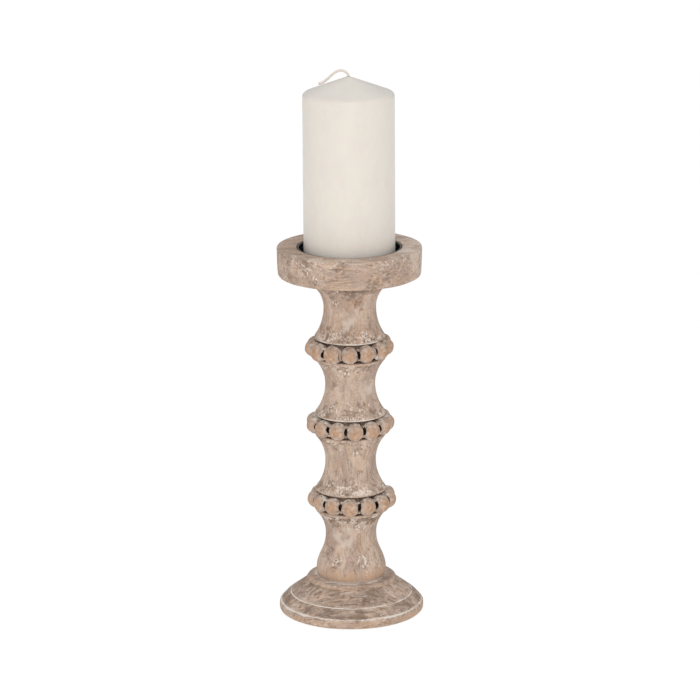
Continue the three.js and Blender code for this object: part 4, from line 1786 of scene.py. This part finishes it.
@dataclass
class Wick:
    """The free end of the wick: three plied strands that stand in a small arch and rest on the cone.

    Attributes:
        diameter: Its diameter, in millimetres.
        length: Its length from the mouth of the bore.
        pitch: The length of one turn of a strand.
        strands: How many strands it has.
        groove: How deep the grooves between them are, as a share of its radius.
        sides: How many points go round it.
        spacing: How far apart the rounds of points are.
        route: Its centre line, from the mouth of the bore to the cut end.
    """

    diameter: float = 2.2
    length: float = 31.8
    pitch: float = 6.5
    strands: int = 3
    groove: float = 0.2
    sides: int = 36
    spacing: float = 0.25
    route: tuple[Triple, ...] = (
        (0, 0, 0),
        (-0.1, 0, 1.2),
        (-0.8, 0.2, 2.4),
        (-2, 0.5, 3.5),
        (-3.6, 1, 4.3),
        (-5.5, 1.5, 4.7),
        (-7.5, 2.1, 4.5),
        (-9.4, 2.6, 3.8),
        (-11.2, 3.1, 2.6),
        (-12.9, 3.6, 1.2),
        (-14.6, 4.1, -0.4),
        (-16.3, 4.6, -2),
        (-18, 5.1, -3.6),
        (-19.7, 5.6, -5),
        (-21.4, 6, -6.1),
        (-23.2, 6.5, -6.9),
        (-24.6, 6.9, -7.2),
    )

    def path(self, exit_point: Vector) -> list[Vector]:
        """Draws a smooth curve through the route.

        Args:
            exit_point: The mouth of the candle's bore, in metres.

        Returns:
            Points along the curve.
        """
        knots = [exit_point + Vector(point) * MM for point in self.route]
        padded = [2 * knots[0] - knots[1], *knots, 2 * knots[-1] - knots[-2]]
        points = []
        for before, start, end, after in zip(padded, padded[1:], padded[2:], padded[3:]):
            count = max(2, round((end - start).length / (self.spacing * MM)))
            for i in range(count):
                t = i / count
                squared = 2 * before - 5 * start + 4 * end - after
                cubed = 3 * start - before - 3 * end + after
                points.append(0.5 * (2 * start + (end - before) * t + squared * t**2 + cubed * t**3))
        return [*points, knots[-1]]

    def mesh(self, path: list[Vector]) -> bpy.types.Mesh:
        """Makes the twisted tube along the path, with its grooves marked.

        Args:
            path: Points along its centre line.

        Returns:
            The mesh.
        """
        across = Vector((0, 1, 0))
        gone, vertices, grooves = 0.0, [], []
        for i, point in enumerate(path):
            ahead = (path[min(i + 1, len(path) - 1)] - path[max(i - 1, 0)]).normalized()
            across = (across - ahead * across.dot(ahead)).normalized()
            other = ahead.cross(across)
            gone += (point - path[i - 1]).length if i else 0.0
            twist = 2 * math.pi * gone / (self.pitch * MM)
            for side in range(self.sides):
                angle = 2 * math.pi * side / self.sides
                lobe = abs(math.cos(self.strands * (angle - twist) / 2))
                radius = self.diameter / 2 * MM * (1 - self.groove * (1 - lobe) ** 1.5)
                vertices.append(point + radius * (math.cos(angle) * across + math.sin(angle) * other))
                grooves.append((1 - lobe) ** 2)
        rows, n = len(path), self.sides
        faces = [
            (row * n + side, row * n + (side + 1) % n, (row + 1) * n + (side + 1) % n, (row + 1) * n + side)
            for row in range(rows - 1)
            for side in range(n)
        ]
        faces.append(tuple(reversed(range(n))))
        faces.append(tuple(range((rows - 1) * n, rows * n)))
        mesh = bpy.data.meshes.new("twisted_wick")
        mesh.from_pydata(vertices, [], faces)
        # The grooves carry shade that the cotton paints darker.
        mesh.attributes.new(Mark.STAIN.value, "FLOAT", "POINT").data.foreach_set("value", grooves)
        mesh.shade_smooth()
        return mesh

    def build(self, cotton: bpy.types.Material) -> bpy.types.Object:
        """Args:
            cotton: Its material.

        Returns:
            The wick.
        """
        exit_point = Vector((0, 0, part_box("candle")[1].z))
        path = self.path(exit_point)
        mesh = self.mesh(path)
        mesh.materials.append(cotton)
        wick = finished(link_object("twisted_wick", mesh), CANDLE, "cotton_wick", "wick")
        return wick


def dress_nodes(material: bpy.types.Material, *nodes: str) -> None:
    """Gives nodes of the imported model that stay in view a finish.

    Args:
        material: The finish.
        *nodes: The names of the nodes.
    """
    for name in nodes:
        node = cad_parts[name]
        node.data.materials.clear()
        node.data.materials.append(material)
        log.info("%s: dressed in %s", name, material.name)


# ---------- Studio ----------


@dataclass
class Studio:
    """A white floor and sky, one soft light and a long lens a little above the plate.

    Attributes:
        sky: The sky's strength at the horizon and overhead.
        sky_colour: Its linear colour.
        floor_size: The floor's width, in metres.
        floor_colour: How much light the floor gives back.
        floor_glow: How much light it gives of its own, so that it stays white round the object.
        light_place: Where the light is, in metres.
        light_size: Its width, in metres.
        light_power: Its power, in watts.
        light_colour: Its linear colour.
        light_target: The height that it faces, in metres.
        camera_place: Where the camera is, in metres.
        camera_tilt: How far it looks up from straight down, in degrees.
        camera_roll: How far it is turned about its own axis, in degrees.
        lens: Its focal length, in millimetres.
        sensor: The width of its sensor, in millimetres.
    """

    sky: Pair = (0.33, 1.06)
    sky_colour: Triple = (0.95, 0.975, 1.0)
    floor_size: float = 60.0
    floor_colour: float = 0.1
    floor_glow: float = 0.93
    light_place: Triple = (-0.15, -3.5, 1.5)
    light_size: float = 2.0
    light_power: float = 51.0
    light_colour: Triple = (1.0, 0.965, 0.93)
    light_target: float = 0.23
    camera_place: Triple = (0.0, -3.04185, 1.03163)
    camera_tilt: float = 75.175
    camera_roll: float = -0.34
    lens: float = 193.67
    sensor: float = 36.0

    def build(self) -> None:
        """Makes the camera, the sky, the floor and the light."""
        bpy.context.scene.view_settings.view_transform = "Standard"
        self.camera()
        self.surroundings()
        self.floor()
        self.light()

    def camera(self) -> None:
        """Makes the camera."""
        camera = link_object("camera", bpy.data.cameras.new("camera"))
        camera.data.lens = self.lens
        camera.data.sensor_width = self.sensor
        tilt = Matrix.Rotation(math.radians(self.camera_tilt), 4, "X")
        roll = Matrix.Rotation(math.radians(self.camera_roll), 4, "Z")
        camera.matrix_world = Matrix.Translation(self.camera_place) @ tilt @ roll
        bpy.context.scene.camera = camera

    def surroundings(self) -> None:
        """Makes the sky, which is brighter overhead than at the horizon."""
        world = bpy.data.worlds.new("white_studio")
        world.use_nodes = True
        tree = world.node_tree
        background = tree.nodes["Background"]
        background.inputs["Color"].default_value = (*self.sky_colour, 1.0)
        towards = add_node(tree, "ShaderNodeTexCoord").outputs["Generated"]
        height = add_node(tree, "ShaderNodeSeparateXYZ", {0: towards}).outputs["Z"]
        horizon, zenith = self.sky
        strength = {"Value": height, "To Min": horizon, "To Max": zenith}
        strength = add_node(tree, "ShaderNodeMapRange", strength).outputs[0]
        tree.links.new(strength, background.inputs["Strength"])
        bpy.context.scene.world = world

    def floor(self) -> None:
        """Makes the floor."""
        half = self.floor_size / 2
        mesh = bpy.data.meshes.new("studio_floor")
        corners = [(-half, -half, 0), (half, -half, 0), (half, half, 0), (-half, half, 0)]
        mesh.from_pydata(corners, [], [(0, 1, 2, 3)])
        material = bpy.data.materials.new("white_floor")
        material.use_nodes = True
        shader = material.node_tree.nodes["Principled BSDF"]
        shader.inputs["Base Color"].default_value = (*(self.floor_colour,) * 3, 1.0)
        shader.inputs["Roughness"].default_value = 1.0
        shader.inputs["Specular IOR Level"].default_value = 0.0
        shader.inputs["Emission Color"].default_value = (1, 1, 1, 1)
        shader.inputs["Emission Strength"].default_value = self.floor_glow
        mesh.materials.append(material)
        link_object("studio_floor", mesh)

    def light(self) -> None:
        """Makes the square soft light, which faces the object."""
        data = bpy.data.lights.new("key", "AREA")
        data.size = self.light_size
        data.energy = self.light_power
        data.color = self.light_colour
        lamp = link_object("key", data)
        place = Matrix.Translation(self.light_place)
        towards = Vector((0, 0, self.light_target)) - Vector(self.light_place)
        lamp.matrix_world = place @ towards.to_track_quat("-Z", "Y").to_matrix().to_4x4()


def turned_pieces() -> list[Turning]:
    """Lists the turned pieces, with the finish and the blemishes of each.

    Returns:
        The pieces, from the base up, then the cup, the candle and the felt.
    """
    return [
        Base("base", "moulded_base", grain=Grain.LYING, sides=384, seed=3.1, weathering=1.0,
             blemishes=Blemishes(
                 smudges_and_shade=(Spot(14, -44, 19, 14), Spot(-4, -40, 22, 12), Spot(-22, -51, 12, 14),
                          Spot(4, -56, 10, 14)),
             )),
        FootSpool("foot_spool", "turned_foot_spool", seed=11.7, weathering=0.3, blemishes=Blemishes(
            chips=(Spot(10, -25, 49, 13), Spot(8, -22, 79, 14), Spot(-13, -24, 49, 11)),
            # the two at 82 mm are painted shade under the shoulder of the lower ring
            smudges_and_shade=(Spot(-13, -22, 82, 12), Spot(16, -19, 82, 8), Spot(-14, -25.5, 47, 12),
                     Spot(-23, -16, 55, 14)),
            washes=(Spot(-7, -21, 68, 15),),
        )),
        CoveSpool("lower_spool", "turned_lower_spool", seed=23.9, lip_paint=0.6, weathering=0.35,
                  blemishes=Blemishes(chips=(Spot(4, -23, 144, 10),), smudges_and_shade=(Spot(2, -26, 115, 9),))),
        CoveSpool("middle_spool", "turned_middle_spool", seed=37.2, waist=21.0, blemishes=Blemishes(
            chips=(Spot(-14, -22, 181, 11), Spot(-4, -25, 213, 14), Spot(10, -24, 180, 8)),
            smudges_and_shade=(Spot(-14, -17, 200, 8), Spot(0, -26, 178, 12)),
            washes=(Spot(16, -15, 196, 14),),
        )),
        UpperSpool("upper_spool", "turned_upper_spool", seed=51.4, blemishes=Blemishes(
            chips=(Spot(-16, -20.5, 247, 11), Spot(13, -23, 245, 7), Spot(15, -20, 279, 6),
                   Spot(-12, -20, 271, 9)),
            # the two highest are painted shadow under the plate
            smudges_and_shade=(Spot(0, -26, 281, 14), Spot(0, -26, 245, 13), Spot(-14, -21, 277, 9)),
            stains=(Spot(7, -21.5, 272, 8), Spot(10, -19.5, 267, 5)),
            washes=(Spot(-1, -22, 258, 15),),
        )),
        Plate("candle_plate", "turned_plate", grain=Grain.LYING, sides=384, seed=68.8, weathering=0.6,
              blemishes=Blemishes(
                  chips=(Spot(-36, -48.6, 307, 11), Spot(-28, -53.5, 300, 8)),
                  smudges_and_shade=(Spot(-50, -34, 299, 9), Spot(20, -57, 297, 14), Spot(30, -52, 303, 10),
                           Spot(-8, -60, 312, 10)),
                  washes=(Spot(50, -10, 315, 44),),
              )),
        Cup("plate_liner", "pressed_cup", "black_enamel", sides=320, waver=0.1, dents=0.0, wear=1),
        Candle("candle", "pillar_candle", "wax", CANDLE, waver=0.25, dents=0.0, wear=1),
        Felt("felt_pad", "felt_disc", "felt", waver=0.3, dents=0.1, dent_size=1.5, wear=1),
    ]


def main() -> None:
    """Builds every piece in order and reports it."""
    logging.basicConfig(level=logging.INFO, format="%(name)s %(message)s")
    Studio().build()
    cotton = plied_cotton()
    Wick().build(cotton)
    turning, stringing = turning_tree(), RingTree().tree
    for piece in turned_pieces():
        piece.build(turning)
    rings = [
        BeadRing("lower", -3.4, 3, filled=0.1, shift=1.1),
        BeadRing("middle", 7.6, 5, filled=0.2, shift=-0.4),
        BeadRing("upper", 0.5, 8, filled=0.6, tilt=-1.0, shift=-0.8),
    ]
    for ring in rings:
        ring.build(turning, stringing)
    dress_nodes(zinc_plate(), "tie_rod", "base_washer", "base_nut", "plate_washer", "plate_nut")
    dress_nodes(cotton, "wick_core")


if __name__ == "__main__":
    main()
